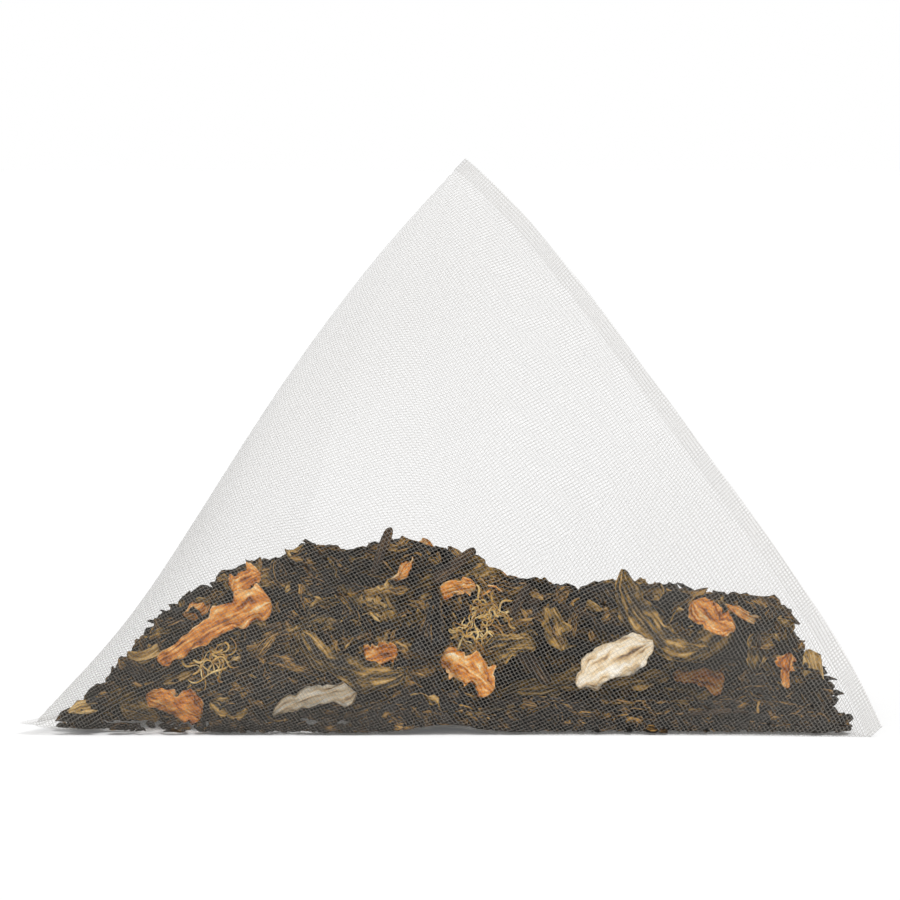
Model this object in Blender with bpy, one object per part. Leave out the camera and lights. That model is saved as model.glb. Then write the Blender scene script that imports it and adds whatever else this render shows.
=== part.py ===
"""Pyramid tea bag, standing on its base, +Z up, in metres.

A length of woven nylon net is made into a tube and welded flat across each end, with the two
welds at right angles, which gives a pyramid of four faces. One weld lies on the ground from the
left corner to the rear corner. The other runs from the apex down to the right corner. Loose leaf
tea and flower petals fill its lower third. The front edge runs along X, and -Y is the front.
"""

import functools
import math

import bpy
import numpy as np

MM = 0.001  # every size below is in millimetres

# The bag's four corners
FRONT_EDGE = 58.6
BASE_DEPTH = 52.0
APEX_HEIGHT = 38.9
APEX_BEHIND_FRONT = 31.0
APEX_OFF_CENTRE = 1.5
CORNER_LIFT = 0.8

# The net, drawn with far fewer and thicker threads than the real one has
NET_THICKNESS = 0.35
WELD_WIDTH = 1.2
WELD_THICKNESS = 0.5
WELD_BOW = 1.6
GAPS_ROUND = 16
GAPS_ALONG = 7
GAP = 3.5
THREAD_RISE = 0.3
# The lines across one pitch of the net: each bar is two threads, with a valley between them
PITCH_LINES = ("valley", "crest", "gap side", "gap side", "crest")
LINES_A_GAP = len(PITCH_LINES)

# The tube's hoops are rounded parallelograms, sharper close to the welds
CORNER_SHARPNESS = 4.6
SHARPER_AT_WELDS = 9.0
HOOP_SAMPLES = 1441

# How full and how slack it is. A place or a reach with SHARE in its name is a share of the way
# from the ground weld to the upper weld.
SHOULDER_SWELL = 0.95
SHOULDER_SHARE = 0.56
SHOULDER_REACH_SHARE = 0.27
SHOULDER_WAY = (-1.0, -0.35, 0.35)
EAR_PINCH = 0.35
EAR_SHARE = 0.16
EAR_REACH_SHARE = 0.14
BASE_SAG = 1.6
FRONT_NICK = 0.6
NICK_REACH = 3.0
REAR_SWELL = 4.0
REAR_WAY = (0.0, 0.8, 0.6)

# The filling
CLEARANCE = 0.3
LEAF_THICKNESS = 0.4
PETAL_THICKNESS = 0.36
STEM_THICKNESS = 0.55
TIP_SHARE = 0.04  # of a piece's width squared off at its two tips
TIP_ROUNDING = 0.6
TEETH_ALONG = (9.0, 17.0)
STEPS_ALONG = (5, 9)  # the fewest and the most faces along a piece
STEPS_A_MM = 1.2

# The bed of broken leaf, and the room that it needs between the pieces in front and behind
BED_HEIGHT = 13.0
BED_MIDDLE = -3.0
BED_FALL = 0.5
BED_LUMP = 0.7
BED_SPACING = 1.7
BED_ROW_HEIGHT = 1.3
BED_STEP = 1.0
BED_LEAST = 2.0
BED_REACH = 2.6

# The grid of sight lines along Y that settles the filling
SIGHT_STEP = 0.3
SIGHT_MARGIN = 6.0
SKIN_SAMPLES = 20  # samples of the net between two of its lines
BLOCKED = 1000.0  # a depth that stands for no room at all
LEAN_CELLS = 5  # how many cells to each side the net's slope is measured over
USUAL_LEAN = 0.6
STEEPEST_LEAN = 1.8
LARGEST_STEP = 2.5  # how far one end of a piece may stand off what carries it

COLOURS = {
    "clear_nylon_net": ((0.82, 0.83, 0.81), 0.34, 0.45),
    "dark_leaf": ((0.032, 0.026, 0.022), 1.0, 0.55),
    "olive_leaf": ((0.16, 0.11, 0.045), 1.0, 0.6),
    "orange_petal": ((0.62, 0.22, 0.05), 1.0, 0.65),
    "cream_petal": ((0.66, 0.49, 0.27), 1.0, 0.65),
    "gold_fibre": ((0.55, 0.33, 0.09), 1.0, 0.7),
    "tan_stem": ((0.24, 0.14, 0.06), 1.0, 0.7),
}

# The pieces of the filling that press against the front of the net, from the front inwards.
# Each is: name, material, place across as a share of half the front edge, height as a share of
# the apex's height, length, width, then in degrees its slope, bend, curl and twist.
FRONT_PIECES = (
    ("orange_petal_1", "orange_petal", -0.57, 0.195, 9.0, 1.7, 26, 14, 60, 30),
    ("orange_petal_2", "orange_petal", -0.50, 0.268, 2.4, 1.5, 35, 20, 70, 0),
    ("gold_fibre_1", "gold_fibre", -0.58, 0.125, 3.8, 1.7, 20, 60, 90, 120),
    ("orange_petal_3", "orange_petal", -0.66, 0.045, 4.3, 1.5, -23, 20, 60, 20),
    ("olive_leaf_1", "olive_leaf", -0.77, 0.035, 3.0, 1.2, -18, 10, 60, 0),
    ("olive_leaf_2", "olive_leaf", -0.25, 0.105, 8.6, 1.9, -22, -80, 70, 40),
    ("cream_petal_1", "cream_petal", -0.32, 0.058, 6.4, 2.0, 18, 10, 80, 20),
    ("orange_petal_4", "orange_petal", -0.16, 0.135, 2.4, 1.5, 10, 10, 40, 0),
    ("dark_leaf_1", "dark_leaf", -0.04, 0.190, 4.6, 1.7, 82, 20, 90, 30),
    ("cream_petal_2", "cream_petal", 0.06, 0.105, 4.4, 2.1, -31, 30, 70, 20),
    ("gold_fibre_2", "gold_fibre", 0.08, 0.200, 4.5, 2.2, 50, 70, 90, 120),
    ("orange_petal_5", "orange_petal", 0.03, 0.245, 2.6, 1.0, 10, 20, 60, 0),
    ("olive_leaf_3", "olive_leaf", 0.16, 0.142, 3.8, 1.7, 4, 10, 40, 10),
    ("stem_1", "tan_stem", 0.21, 0.118, 4.2, 1.0, -45, 20, 0, 0),
    ("cream_petal_3", "cream_petal", 0.41, 0.125, 6.3, 2.3, 28, 20, 60, 20),
    ("olive_leaf_4", "olive_leaf", 0.34, 0.080, 12.6, 1.5, 5, 10, 90, 60),
    ("olive_leaf_5", "olive_leaf", 0.50, 0.172, 9.4, 1.9, -42, -100, 80, 40),
    ("orange_petal_6", "orange_petal", 0.65, 0.196, 3.6, 1.6, -30, -50, 70, 0),
    ("olive_leaf_6", "olive_leaf", 0.66, 0.150, 3.2, 2.6, 30, 0, 230, 0),
    ("dark_leaf_2", "dark_leaf", 0.67, 0.112, 3.8, 1.5, -8, 10, 70, 0),
    ("orange_petal_7", "orange_petal", 0.63, 0.078, 3.8, 1.2, -10, 10, 60, 0),
    ("orange_petal_8", "orange_petal", 0.83, 0.110, 2.4, 0.9, 80, 20, 40, 0),
    ("dark_leaf_3", "dark_leaf", 0.79, 0.165, 5.8, 3.0, 62, 10, 50, 10),
    ("dark_leaf_4", "dark_leaf", 0.84, 0.055, 6.6, 2.8, -12, 10, 60, 10),
    ("stem_2", "tan_stem", -0.16, 0.318, 3.4, 0.7, 68, 8, 0, 0),
    ("stem_3", "tan_stem", 0.02, 0.285, 3.8, 0.9, 36, 6, 0, 0),
    ("stem_4", "tan_stem", 0.185, 0.224, 2.6, 0.6, 55, 0, 0, 0),
    ("dark_leaf_5", "dark_leaf", -0.66, 0.150, 6.0, 2.2, 48, 20, 110, 80),
    ("dark_leaf_6", "dark_leaf", -0.80, 0.070, 5.0, 2.0, 20, 10, 100, 60),
    ("dark_leaf_7", "dark_leaf", -0.45, 0.190, 6.6, 2.1, 62, 20, 110, 110),
    ("dark_leaf_8", "dark_leaf", -0.36, 0.262, 6.0, 2.0, 18, -20, 110, 90),
    ("dark_leaf_9", "dark_leaf", -0.12, 0.272, 6.4, 2.1, -14, 24, 110, 90),
    ("dark_leaf_10", "dark_leaf", -0.33, 0.170, 6.4, 2.2, -28, 20, 110, 100),
    ("dark_leaf_11", "dark_leaf", -0.52, 0.065, 6.0, 2.0, 8, 14, 110, 60),
    ("dark_leaf_12", "dark_leaf", -0.10, 0.060, 6.8, 2.1, -8, 10, 110, 90),
    ("dark_leaf_13", "dark_leaf", 0.20, 0.048, 7.2, 2.0, 6, 10, 110, 90),
    ("dark_leaf_14", "dark_leaf", 0.30, 0.175, 6.2, 2.2, 30, 20, 110, 90),
    ("dark_leaf_15", "dark_leaf", 0.55, 0.045, 7.0, 2.1, -6, 12, 110, 80),
    ("dark_leaf_16", "dark_leaf", 0.14, 0.180, 5.0, 2.0, -60, 20, 110, 80),
    ("dark_leaf_17", "dark_leaf", 0.48, 0.215, 4.8, 2.0, -8, 20, 110, 60),
)

# The same for those that press against the two rear faces, from the rear inwards.
REAR_PIECES = (
    ("cream_petal_4", "cream_petal", -0.30, 0.120, 6.4, 2.4, 24, 20, 70, 20),
    ("orange_petal_9", "orange_petal", 0.22, 0.150, 6.0, 1.8, -30, 20, 60, 20),
    ("olive_leaf_7", "olive_leaf", 0.02, 0.095, 9.0, 2.2, 8, 30, 80, 50),
    ("orange_petal_10", "orange_petal", -0.10, 0.215, 3.8, 1.7, 48, 10, 60, 0),
    ("gold_fibre_3", "gold_fibre", 0.42, 0.100, 4.4, 2.0, 30, 60, 90, 120),
    ("olive_leaf_8", "olive_leaf", -0.46, 0.060, 7.0, 2.0, -14, 40, 80, 40),
    ("dark_leaf_18", "dark_leaf", 0.10, 0.235, 7.0, 2.2, 22, 20, 110, 90),
    ("dark_leaf_19", "dark_leaf", -0.24, 0.205, 6.6, 2.2, -34, 20, 110, 90),
    ("dark_leaf_20", "dark_leaf", 0.38, 0.180, 6.4, 2.2, 40, 20, 110, 90),
    ("dark_leaf_21", "dark_leaf", -0.04, 0.045, 7.4, 2.2, -6, 14, 110, 90),
    ("dark_leaf_22", "dark_leaf", 0.30, 0.050, 7.0, 2.2, 10, 14, 110, 90),
    ("dark_leaf_23", "dark_leaf", -0.55, 0.120, 5.4, 2.0, 40, 14, 110, 70),
    ("dark_leaf_24", "dark_leaf", 0.62, 0.120, 5.6, 2.0, -38, 14, 110, 70),
    ("dark_leaf_25", "dark_leaf", 0.58, 0.048, 6.0, 2.0, 6, 14, 110, 70),
    ("olive_leaf_9", "olive_leaf", 0.16, 0.100, 6.4, 2.2, -44, 20, 90, 50),
    ("dark_leaf_26", "dark_leaf", -0.38, 0.150, 6.2, 2.2, 60, 20, 110, 90),
    ("dark_leaf_27", "dark_leaf", 0.24, 0.225, 5.4, 2.0, -20, 14, 110, 70),
    ("dark_leaf_28", "dark_leaf", -0.14, 0.140, 6.6, 2.2, 12, 20, 110, 90),
)


def corners():
    """The left, right, rear and top corners of the net."""
    front = -BASE_DEPTH / 2
    left = np.array([-FRONT_EDGE / 2, front, CORNER_LIFT])
    right = np.array([FRONT_EDGE / 2, front, CORNER_LIFT])
    rear = np.array([0.0, -front, CORNER_LIFT])
    apex = np.array([APEX_OFF_CENTRE, front + APEX_BEHIND_FRONT, APEX_HEIGHT])
    return left, right, rear, apex


def unit(vector):
    return vector / np.linalg.norm(vector, axis=-1, keepdims=True)


def rounded_square(turn, sharpness):
    """Points at each polar angle of a square of half side 1 whose corners are rounded off."""
    across, up = np.abs(np.sin(turn)), np.abs(np.cos(turn))
    out_to = (across**sharpness + up**sharpness) ** (-1 / sharpness)
    return out_to * np.sin(turn), -out_to * np.cos(turn)


def net_points(round_shares, along_shares, inset=0.0):
    """Points of the net, for shares of the way round the tube and of the way along it.

    Each hoop of the tube is a rounded parallelogram. It is flat along the ground weld at 0 and
    flat along the upper weld at 1, and every hoop between has the same length, as cloth has.
    """
    left, right, rear, apex = corners()
    along = np.asarray(along_shares, float)[:, None, None]
    middle = (left + rear) / 2 * (1 - along) + (right + apex) / 2 * along
    towards_right = (right - apex) / 2 * along
    towards_rear = (rear - left) / 2 * (1 - along)
    thin = WELD_THICKNESS / 2
    towards_right = towards_right + np.array([0.0, 0.0, -thin]) * (1 - along)
    towards_rear = towards_rear + unit(rear - left) * thin * along
    sharpness = CORNER_SHARPNESS + SHARPER_AT_WELDS * (2 * along - 1) ** 6
    turn = np.linspace(-math.pi, math.pi, HOOP_SAMPLES)[None, :, None]
    side, over = rounded_square(turn, sharpness)
    hoop = side * towards_right + over * towards_rear
    steps = np.linalg.norm(np.diff(hoop, axis=1), axis=2)
    walked = np.concatenate([np.zeros((len(steps), 1)), np.cumsum(steps, axis=1)], axis=1)
    hoop_length = 2 * np.linalg.norm(rear - left)
    scale = (hoop_length / walked[:, -1])[:, None, None]
    wanted = np.asarray(round_shares, float) + 0.5
    turns = np.stack([np.interp(wanted * row[-1], row, turn[0, :, 0]) for row in walked])
    side, over = rounded_square(turns[..., None], sharpness)
    wide_right = np.linalg.norm(towards_right, axis=2, keepdims=True) * scale
    wide_rear = np.linalg.norm(towards_rear, axis=2, keepdims=True) * scale
    points = middle + side * unit(towards_right) * (wide_right - inset)
    points = points + over * unit(towards_rear) * (wide_rear - inset)
    return slackened(points, side, over, along, inset)


def slackened(points, side, over, along, inset):
    """The swell at the shoulders, the pinched ears, the bowed weld and the flat base."""
    left, right, rear, apex = corners()
    tube_axis = unit((right + apex) / 2 - (left + rear) / 2)
    points = points + tube_axis * WELD_BOW * (1 - side**4) * along**4
    left_fold = np.clip(-side, 0, 1) * np.clip(1 - over, 0, 2) / 2
    shoulder = SHOULDER_SWELL * np.exp(-(((along - SHOULDER_SHARE) / SHOULDER_REACH_SHARE) ** 2))
    ear = EAR_PINCH * np.exp(-(((along - EAR_SHARE) / EAR_REACH_SHARE) ** 2))
    points = points + unit(np.array(SHOULDER_WAY)) * left_fold * (shoulder - ear)
    rear_fold = np.clip(-side, 0, 1) * np.clip(1 + over, 0, 2) / 2
    rear_swell = REAR_SWELL * np.sin(math.pi * along)
    points = points + np.array(REAR_WAY) * rear_fold * rear_swell
    base_share = np.clip(side, 0, 1) ** 2
    points = points - np.array([0.0, 0.0, BASE_SAG]) * base_share * np.sin(math.pi * along)
    from_nick = np.hypot(points[..., 0], points[..., 1] - left[1])
    nick = FRONT_NICK * np.exp(-((from_nick / NICK_REACH) ** 2))
    points[..., 2] = np.maximum(points[..., 2], nick + inset)
    return points


def normals_out(round_shares, along_shares):
    """Directions that point out of the net, from small steps round and along it."""
    step = 1e-3
    low = np.clip(np.asarray(along_shares) - step, 0, 1)
    high = np.clip(np.asarray(along_shares) + step, 0, 1)
    along = net_points(round_shares, high) - net_points(round_shares, low)
    round_way = net_points(np.asarray(round_shares) + step, along_shares)
    round_way = round_way - net_points(np.asarray(round_shares) - step, along_shares)
    return unit(np.cross(round_way, along))


def material(name):
    """A Principled BSDF with the colour, see-through share and roughness of its entry."""
    made = bpy.data.materials.get(name)
    if made:
        return made
    colour, alpha, roughness = COLOURS[name]
    made = bpy.data.materials.new(name)
    made.use_nodes = True
    shader = made.node_tree.nodes["Principled BSDF"]
    shader.inputs["Base Color"].default_value = (*colour, 1.0)
    shader.inputs["Alpha"].default_value = alpha
    shader.inputs["Roughness"].default_value = roughness
    made.diffuse_color = (*colour, alpha)
    return made


def add_object(name, points, faces, material_name):
    """One named object from points in millimetres, moved so that the bag is centred on the origin."""
    mesh = bpy.data.meshes.new(name)
    mesh.from_pydata(((points - bag_centre()) * MM).tolist(), [], faces)
    mesh.materials.append(material(material_name))
    mesh.shade_smooth()
    mesh.set_sharp_from_angle(angle=math.radians(40))
    made = bpy.data.objects.new(name, mesh)
    bpy.context.scene.collection.objects.link(made)
    return made


def pitch_lines(gaps, length):
    """The pitch lines across a run of gaps, as shares of the length."""
    pitch = length / gaps
    bar = pitch - GAP
    in_pitch = np.array([0.0, bar / 4, bar / 2, pitch - bar / 2, pitch - bar / 4])
    return (np.arange(gaps)[:, None] * pitch + in_pitch).reshape(-1) / length


def net_lines():
    """Where the threads and the gaps' sides lie, as shares round and along the tube."""
    left, right, rear, apex = corners()
    face_length = np.linalg.norm((right + apex) / 2 - left)
    hoop_length = 2 * np.linalg.norm(rear - left)
    round_lines = pitch_lines(GAPS_ROUND, hoop_length) - 0.5
    along_lines = np.append(pitch_lines(GAPS_ALONG, face_length), 1.0)
    return round_lines, along_lines


def inner_end():
    """Where the hollow of the bag stops short of a weld, as a share of the way along the tube."""
    return net_lines()[1][1]


def outer_net():
    """The outer face of the net with its raised threads, and the welds' flat fins beyond its ends."""
    round_lines, along_lines = net_lines()
    points = net_points(round_lines, along_lines)
    rise = np.zeros(points.shape[:2])
    for line, kind in enumerate(PITCH_LINES):
        if kind == "crest":
            rise[:, line::LINES_A_GAP] = THREAD_RISE
            rise[line::LINES_A_GAP, :] = THREAD_RISE
    rise[:, 0] = THREAD_RISE
    rise[[0, -1], :] = 0.0
    points = points + normals_out(round_lines, along_lines) * rise[..., None]
    points[..., 2] = np.maximum(points[..., 2], 0.0)
    left, right, rear, apex = corners()
    level_out = unit(np.cross(np.array([0.0, 0.0, 1.0]), rear - left))
    upper_out = unit((right + apex) / 2 - (left + rear) / 2)
    upper_out = unit(upper_out - unit(right - apex) * np.dot(upper_out, unit(right - apex)))
    ground_fin = points[:1] + level_out * WELD_WIDTH
    upper_fin = points[-1:] + upper_out * WELD_WIDTH
    return np.concatenate([ground_fin, points, upper_fin])


@functools.cache
def bag_centre():
    """The middle of the net's outline seen from above, at ground level."""
    outline = outer_net().reshape(-1, 3)
    middle = (outline.min(axis=0) + outline.max(axis=0)) / 2
    return middle * np.array([1.0, 1.0, 0.0])


def gap_sides(lines):
    """The lines that bound the gaps."""
    first = PITCH_LINES.index("gap side")
    return np.sort(np.concatenate([lines[first::LINES_A_GAP], lines[first + 1 :: LINES_A_GAP]]))


def inner_net():
    """The inner face of the net, on the lines that bound the gaps."""
    round_lines, along_lines = net_lines()
    inner_along = np.concatenate([[inner_end()], gap_sides(along_lines), [1 - inner_end()]])
    return net_points(gap_sides(round_lines), inner_along, NET_THICKNESS)


def ladder(ring, flip):
    """Faces across a flattened ring of an even number of points, from one end to the other."""
    count = len(ring)
    faces = [(ring[0], ring[1], ring[-1])]
    for step in range(1, count // 2 - 1):
        faces.append((ring[step], ring[step + 1], ring[-step - 1], ring[-step]))
    faces.append((ring[count // 2 - 1], ring[count // 2], ring[count // 2 + 1]))
    return [face[::-1] for face in faces] if flip else faces


def make_mesh_bag():
    """The net: an outer and an inner face, open to each other only through the gaps."""
    outer, inner = outer_net(), inner_net()
    columns, inner_columns = outer.shape[1], inner.shape[1]
    first_inner = outer.shape[0] * columns
    faces = []

    def outer_at(row, column):
        return row * columns + column % columns

    def inner_at(row, column):
        return first_inner + row * inner_columns + column % inner_columns

    def is_gap(row, column):
        return (row - 1) % LINES_A_GAP == 2 and column % LINES_A_GAP == 2

    for row in range(outer.shape[0] - 1):
        for column in range(columns):
            quad = (
                outer_at(row, column),
                outer_at(row, column + 1),
                outer_at(row + 1, column + 1),
                outer_at(row + 1, column),
            )
            if not is_gap(row, column):
                faces.append(quad)
                continue
            inner_row = (row - 3) // LINES_A_GAP * 2 + 1
            inner_column = (column - 2) // LINES_A_GAP * 2
            back = (
                inner_at(inner_row, inner_column),
                inner_at(inner_row, inner_column + 1),
                inner_at(inner_row + 1, inner_column + 1),
                inner_at(inner_row + 1, inner_column),
            )
            for side in range(4):
                after = (side + 1) % 4
                faces.append((quad[side], quad[after], back[after], back[side]))
    for row in range(inner.shape[0] - 1):
        for column in range(inner_columns):
            if row % 2 == 1 and column % 2 == 0:
                continue
            faces.append(
                (
                    inner_at(row, column),
                    inner_at(row + 1, column),
                    inner_at(row + 1, column + 1),
                    inner_at(row, column + 1),
                )
            )
    last = outer.shape[0] - 1
    faces += ladder([outer_at(0, c) for c in range(columns)], True)
    faces += ladder([outer_at(last, c) for c in range(columns)], False)
    faces += ladder([inner_at(0, c) for c in range(inner_columns)], False)
    faces += ladder([inner_at(inner.shape[0] - 1, c) for c in range(inner_columns)], True)
    points = np.concatenate([outer.reshape(-1, 3), inner.reshape(-1, 3)])
    return add_object("mesh_bag", points, faces, "clear_nylon_net")


class SightLines:
    """Lines of sight along Y through the bag: how far in from the front and from the rear is taken."""

    def __init__(self):
        span = FRONT_EDGE / 2 + SIGHT_MARGIN
        self.low = np.array([-span, 0.0])
        self.shape = (int(2 * span / SIGHT_STEP), int((APEX_HEIGHT + SIGHT_MARGIN) / SIGHT_STEP))
        net = inner_net()
        skin = resampled(np.concatenate([net, net[:, :1]], axis=1), SKIN_SAMPLES)
        across_ends = np.linspace(0, 1, SKIN_SAMPLES)[:, None, None, None]
        rings = skin[[0, -1]]
        caps = rings * (1 - across_ends) + rings[:, ::-1] * across_ends
        samples = np.concatenate([skin.reshape(-1, 3), caps.reshape(-1, 3)])
        self.net_front, self.net_rear = self.span_of(samples)
        self.front, self.rear = self.net_front.copy(), self.net_rear.copy()

    def column_of(self, across):
        return int((across - self.low[0]) / SIGHT_STEP)

    def level_of(self, up):
        return int((up - self.low[1]) / SIGHT_STEP)

    def span_of(self, points):
        """The nearest and farthest Y of the points in each cell, blocked where there are none."""
        cells = np.floor((points[..., [0, 2]] - self.low) / SIGHT_STEP).astype(int).reshape(-1, 2)
        depths = points[..., 1].reshape(-1)
        inside = ((cells >= 0) & (cells < self.shape)).all(axis=1)
        near = np.full(self.shape, BLOCKED)
        far = np.full(self.shape, -BLOCKED)
        np.minimum.at(near, tuple(cells[inside].T), depths[inside])
        np.maximum.at(far, tuple(cells[inside].T), depths[inside])
        return near, far

    def widened(self, depths, reach, worst):
        """Each cell takes the worst depth within the reach, so that sloping sides stay clear."""
        cells = math.ceil(reach / SIGHT_STEP)
        padded = np.pad(depths, cells, mode="edge")
        columns, levels = self.shape
        out = depths.copy()
        for across in range(2 * cells + 1):
            for up in range(2 * cells + 1):
                out = worst(out, padded[across : across + columns, up : up + levels])
        return out

    def grounded(self, depths):
        """The map with the lowest depth that is known in each column carried down to the ground."""
        lowest = (np.abs(depths) < BLOCKED).argmax(axis=1)[:, None]
        below = np.arange(self.shape[1])[None, :] < lowest
        return np.where(below, np.take_along_axis(depths, lowest, axis=1), depths)

    def lean(self, across, up, from_rear):
        """How the net slopes away across and upwards at a place, as the filling lies against it."""
        wall = self.net_rear if from_rear else self.net_front
        column = self.column_of(across)
        level = max(self.level_of(up), LEAN_CELLS + 2)
        columns = slice(column - LEAN_CELLS, column + LEAN_CELLS + 1)
        cells = wall[columns, level - LEAN_CELLS : level + LEAN_CELLS + 1]
        if np.abs(cells).max() >= BLOCKED:
            return 0.0, -USUAL_LEAN if from_rear else USUAL_LEAN
        span = 2 * LEAN_CELLS * SIGHT_STEP
        slopes = (cells[-1] - cells[0]).mean() / span, (cells[:, -1] - cells[:, 0]).mean() / span
        return tuple(np.clip(slopes, -STEEPEST_LEAN, STEEPEST_LEAN))

    def settle(self, samples, from_rear):
        """How far to move a piece so that it rests on what lies before it, just clear of it.

        Where it has no room behind it, or would stand off too far at one end, it slides towards
        the middle of the heap until it fits.
        """
        taken = self.widened(self.front, CLEARANCE, np.maximum)
        free = self.widened(self.rear, CLEARANCE, np.minimum)
        towards_middle = np.array([0.0, 0.0, BED_HEIGHT / 4]) - samples.reshape(-1, 3).mean(axis=0)
        towards_middle[1] = 0.0
        slide = unit(towards_middle) * SIGHT_STEP
        shift = np.zeros(3)
        for _ in range(int(np.linalg.norm(towards_middle) / SIGHT_STEP) + 1):
            near, far = self.span_of(samples + shift)
            covered = near < BLOCKED
            if from_rear:
                move = (free - CLEARANCE - far)[covered].min()
                room = (near + move - taken)[covered].min()
                off_net = (self.net_rear - far)[covered]
            else:
                move = (taken + CLEARANCE - near)[covered].max()
                room = (free - far - move)[covered].min()
                off_net = (near - self.net_front)[covered]
            if room > CLEARANCE and np.median(off_net) - off_net.min() < LARGEST_STEP:
                break
            shift = shift + slide
        shift[1] = move
        self.take_up(samples + shift, from_rear)
        return shift

    def take_up(self, samples, from_rear):
        """Marks what a settled piece fills."""
        near, far = self.span_of(samples)
        covered = near < BLOCKED
        if from_rear:
            self.rear[covered] = np.minimum(self.rear[covered], near[covered])
        else:
            self.front[covered] = np.maximum(self.front[covered], far[covered])


def strip_surface(length, width, bend, curl, twist, taper, ragged, seed, along, across):
    """The middle surface of a leaf or petal: a tapered strip, curled across, twisted and bent."""
    along, across = np.meshgrid(along, across, indexing="ij")
    outline = (1 - np.abs(along) ** taper * (1 - TIP_SHARE)) ** TIP_ROUNDING
    coarse, fine = TEETH_ALONG
    teeth = np.sin(coarse * along + seed + 2 * np.sign(across)) + np.sin(fine * along + 2 * seed)
    reach = across * width / 2 * outline * (1 + ragged * teeth / 2)
    curl_radius = width / math.radians(max(curl, 3))
    sideways = curl_radius * np.sin(reach / curl_radius)
    lift = curl_radius * (1 - np.cos(reach / curl_radius))
    turn = math.radians(twist) * along / 2 + math.sin(seed) / 3
    turned_sideways = sideways * np.cos(turn) - lift * np.sin(turn)
    turned_lift = sideways * np.sin(turn) + lift * np.cos(turn)
    bend_radius = length / math.radians(bend or 1)
    arc = math.radians(bend or 1) / 2 * along
    run = bend_radius * np.sin(arc) + turned_sideways * np.sin(arc)
    rise = bend_radius * (np.cos(arc) - 1) + turned_sideways * np.cos(arc)
    return np.stack([run, turned_lift, rise], axis=-1)


def sloped(points, slope):
    """The points turned in the plane of the front, by the slope in degrees."""
    angle = math.radians(slope)
    across = points[..., 0] * math.cos(angle) - points[..., 2] * math.sin(angle)
    up = points[..., 0] * math.sin(angle) + points[..., 2] * math.cos(angle)
    return np.stack([across, points[..., 1], up], axis=-1)


def two_faces(middle, thickness):
    """The two faces of a thin piece, half its thickness to each side of its middle surface."""
    normal = unit(np.cross(np.gradient(middle, axis=0), np.gradient(middle, axis=1)))
    return middle + normal * thickness / 2, middle - normal * thickness / 2


def resampled(grid, times):
    """A grid of points with more points between its own, along straight lines."""
    for axis in (0, 1):
        count = grid.shape[axis]
        place = np.linspace(0, count - 1, (count - 1) * times + 1)
        low = np.minimum(place.astype(int), count - 2)
        share = (place - low).reshape([-1 if a == axis else 1 for a in range(3)])
        grid = np.take(grid, low, axis) * (1 - share) + np.take(grid, low + 1, axis) * share
    return grid


def thin_piece(name, material_name, faces_points):
    """A closed thin solid from its two faces, joined round the rim."""
    upper, lower = faces_points
    rows, columns = upper.shape[:2]
    size = rows * columns
    faces = []
    for row in range(rows - 1):
        for column in range(columns - 1):
            corner = row * columns + column
            quad = (corner, corner + 1, corner + columns + 1, corner + columns)
            faces.append(quad[::-1])
            faces.append(tuple(index + size for index in quad))
    rim = [column for column in range(columns)]
    rim += [row * columns + columns - 1 for row in range(1, rows)]
    rim += [(rows - 1) * columns + column for column in range(columns - 2, -1, -1)]
    rim += [row * columns for row in range(rows - 2, 0, -1)]
    for here, after in zip(rim, rim[1:] + rim[:1]):
        faces.append((here, after, after + size, here + size))
    points = np.concatenate([upper.reshape(-1, 3), lower.reshape(-1, 3)])
    return add_object(name, points, faces, material_name)


def kind_of(name):
    """The thickness, the taper towards the tips and the raggedness of the edges."""
    if "petal" in name:
        return PETAL_THICKNESS, 3.0, 0.06
    if "stem" in name:
        return STEM_THICKNESS, 6.0, 0.0
    return LEAF_THICKNESS, 2.4, 0.12


def make_strip(lines, entry, number, from_rear):
    """One leaf, petal, fibre tuft or stem of the filling, settled against the net."""
    name, material_name, across, up, length, width, slope, bend, curl, twist = entry
    thickness, taper, ragged = kind_of(name)
    fewest, most = STEPS_ALONG
    steps = max(fewest, min(most, int(length * STEPS_A_MM)))
    along = np.linspace(-1, 1, steps + 1)
    middle = strip_surface(
        length, width, bend, curl, twist, taper, ragged, number, along, np.linspace(-1, 1, 3)
    )
    middle = sloped(middle, slope)
    place = np.array([across * FRONT_EDGE / 2, 0.0, up * APEX_HEIGHT])
    lean_across, lean_up = lines.lean(place[0], place[2], from_rear)
    middle[..., 1] += lean_across * middle[..., 0] + lean_up * middle[..., 2]
    pair = two_faces(middle + place, thickness)
    samples = np.concatenate([resampled(face, 8).reshape(-1, 3) for face in pair])
    shift = lines.settle(samples, from_rear)
    return thin_piece(name, material_name, (pair[0] + shift, pair[1] + shift))


def bed_room(lines):
    """The front and rear of the room for the bed on each line of sight, clear of all pieces."""
    front = lines.widened(lines.grounded(lines.front), BED_REACH, np.maximum) + CLEARANCE
    rear = lines.widened(lines.grounded(lines.rear), BED_REACH, np.minimum) - CLEARANCE
    return front, rear


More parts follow.
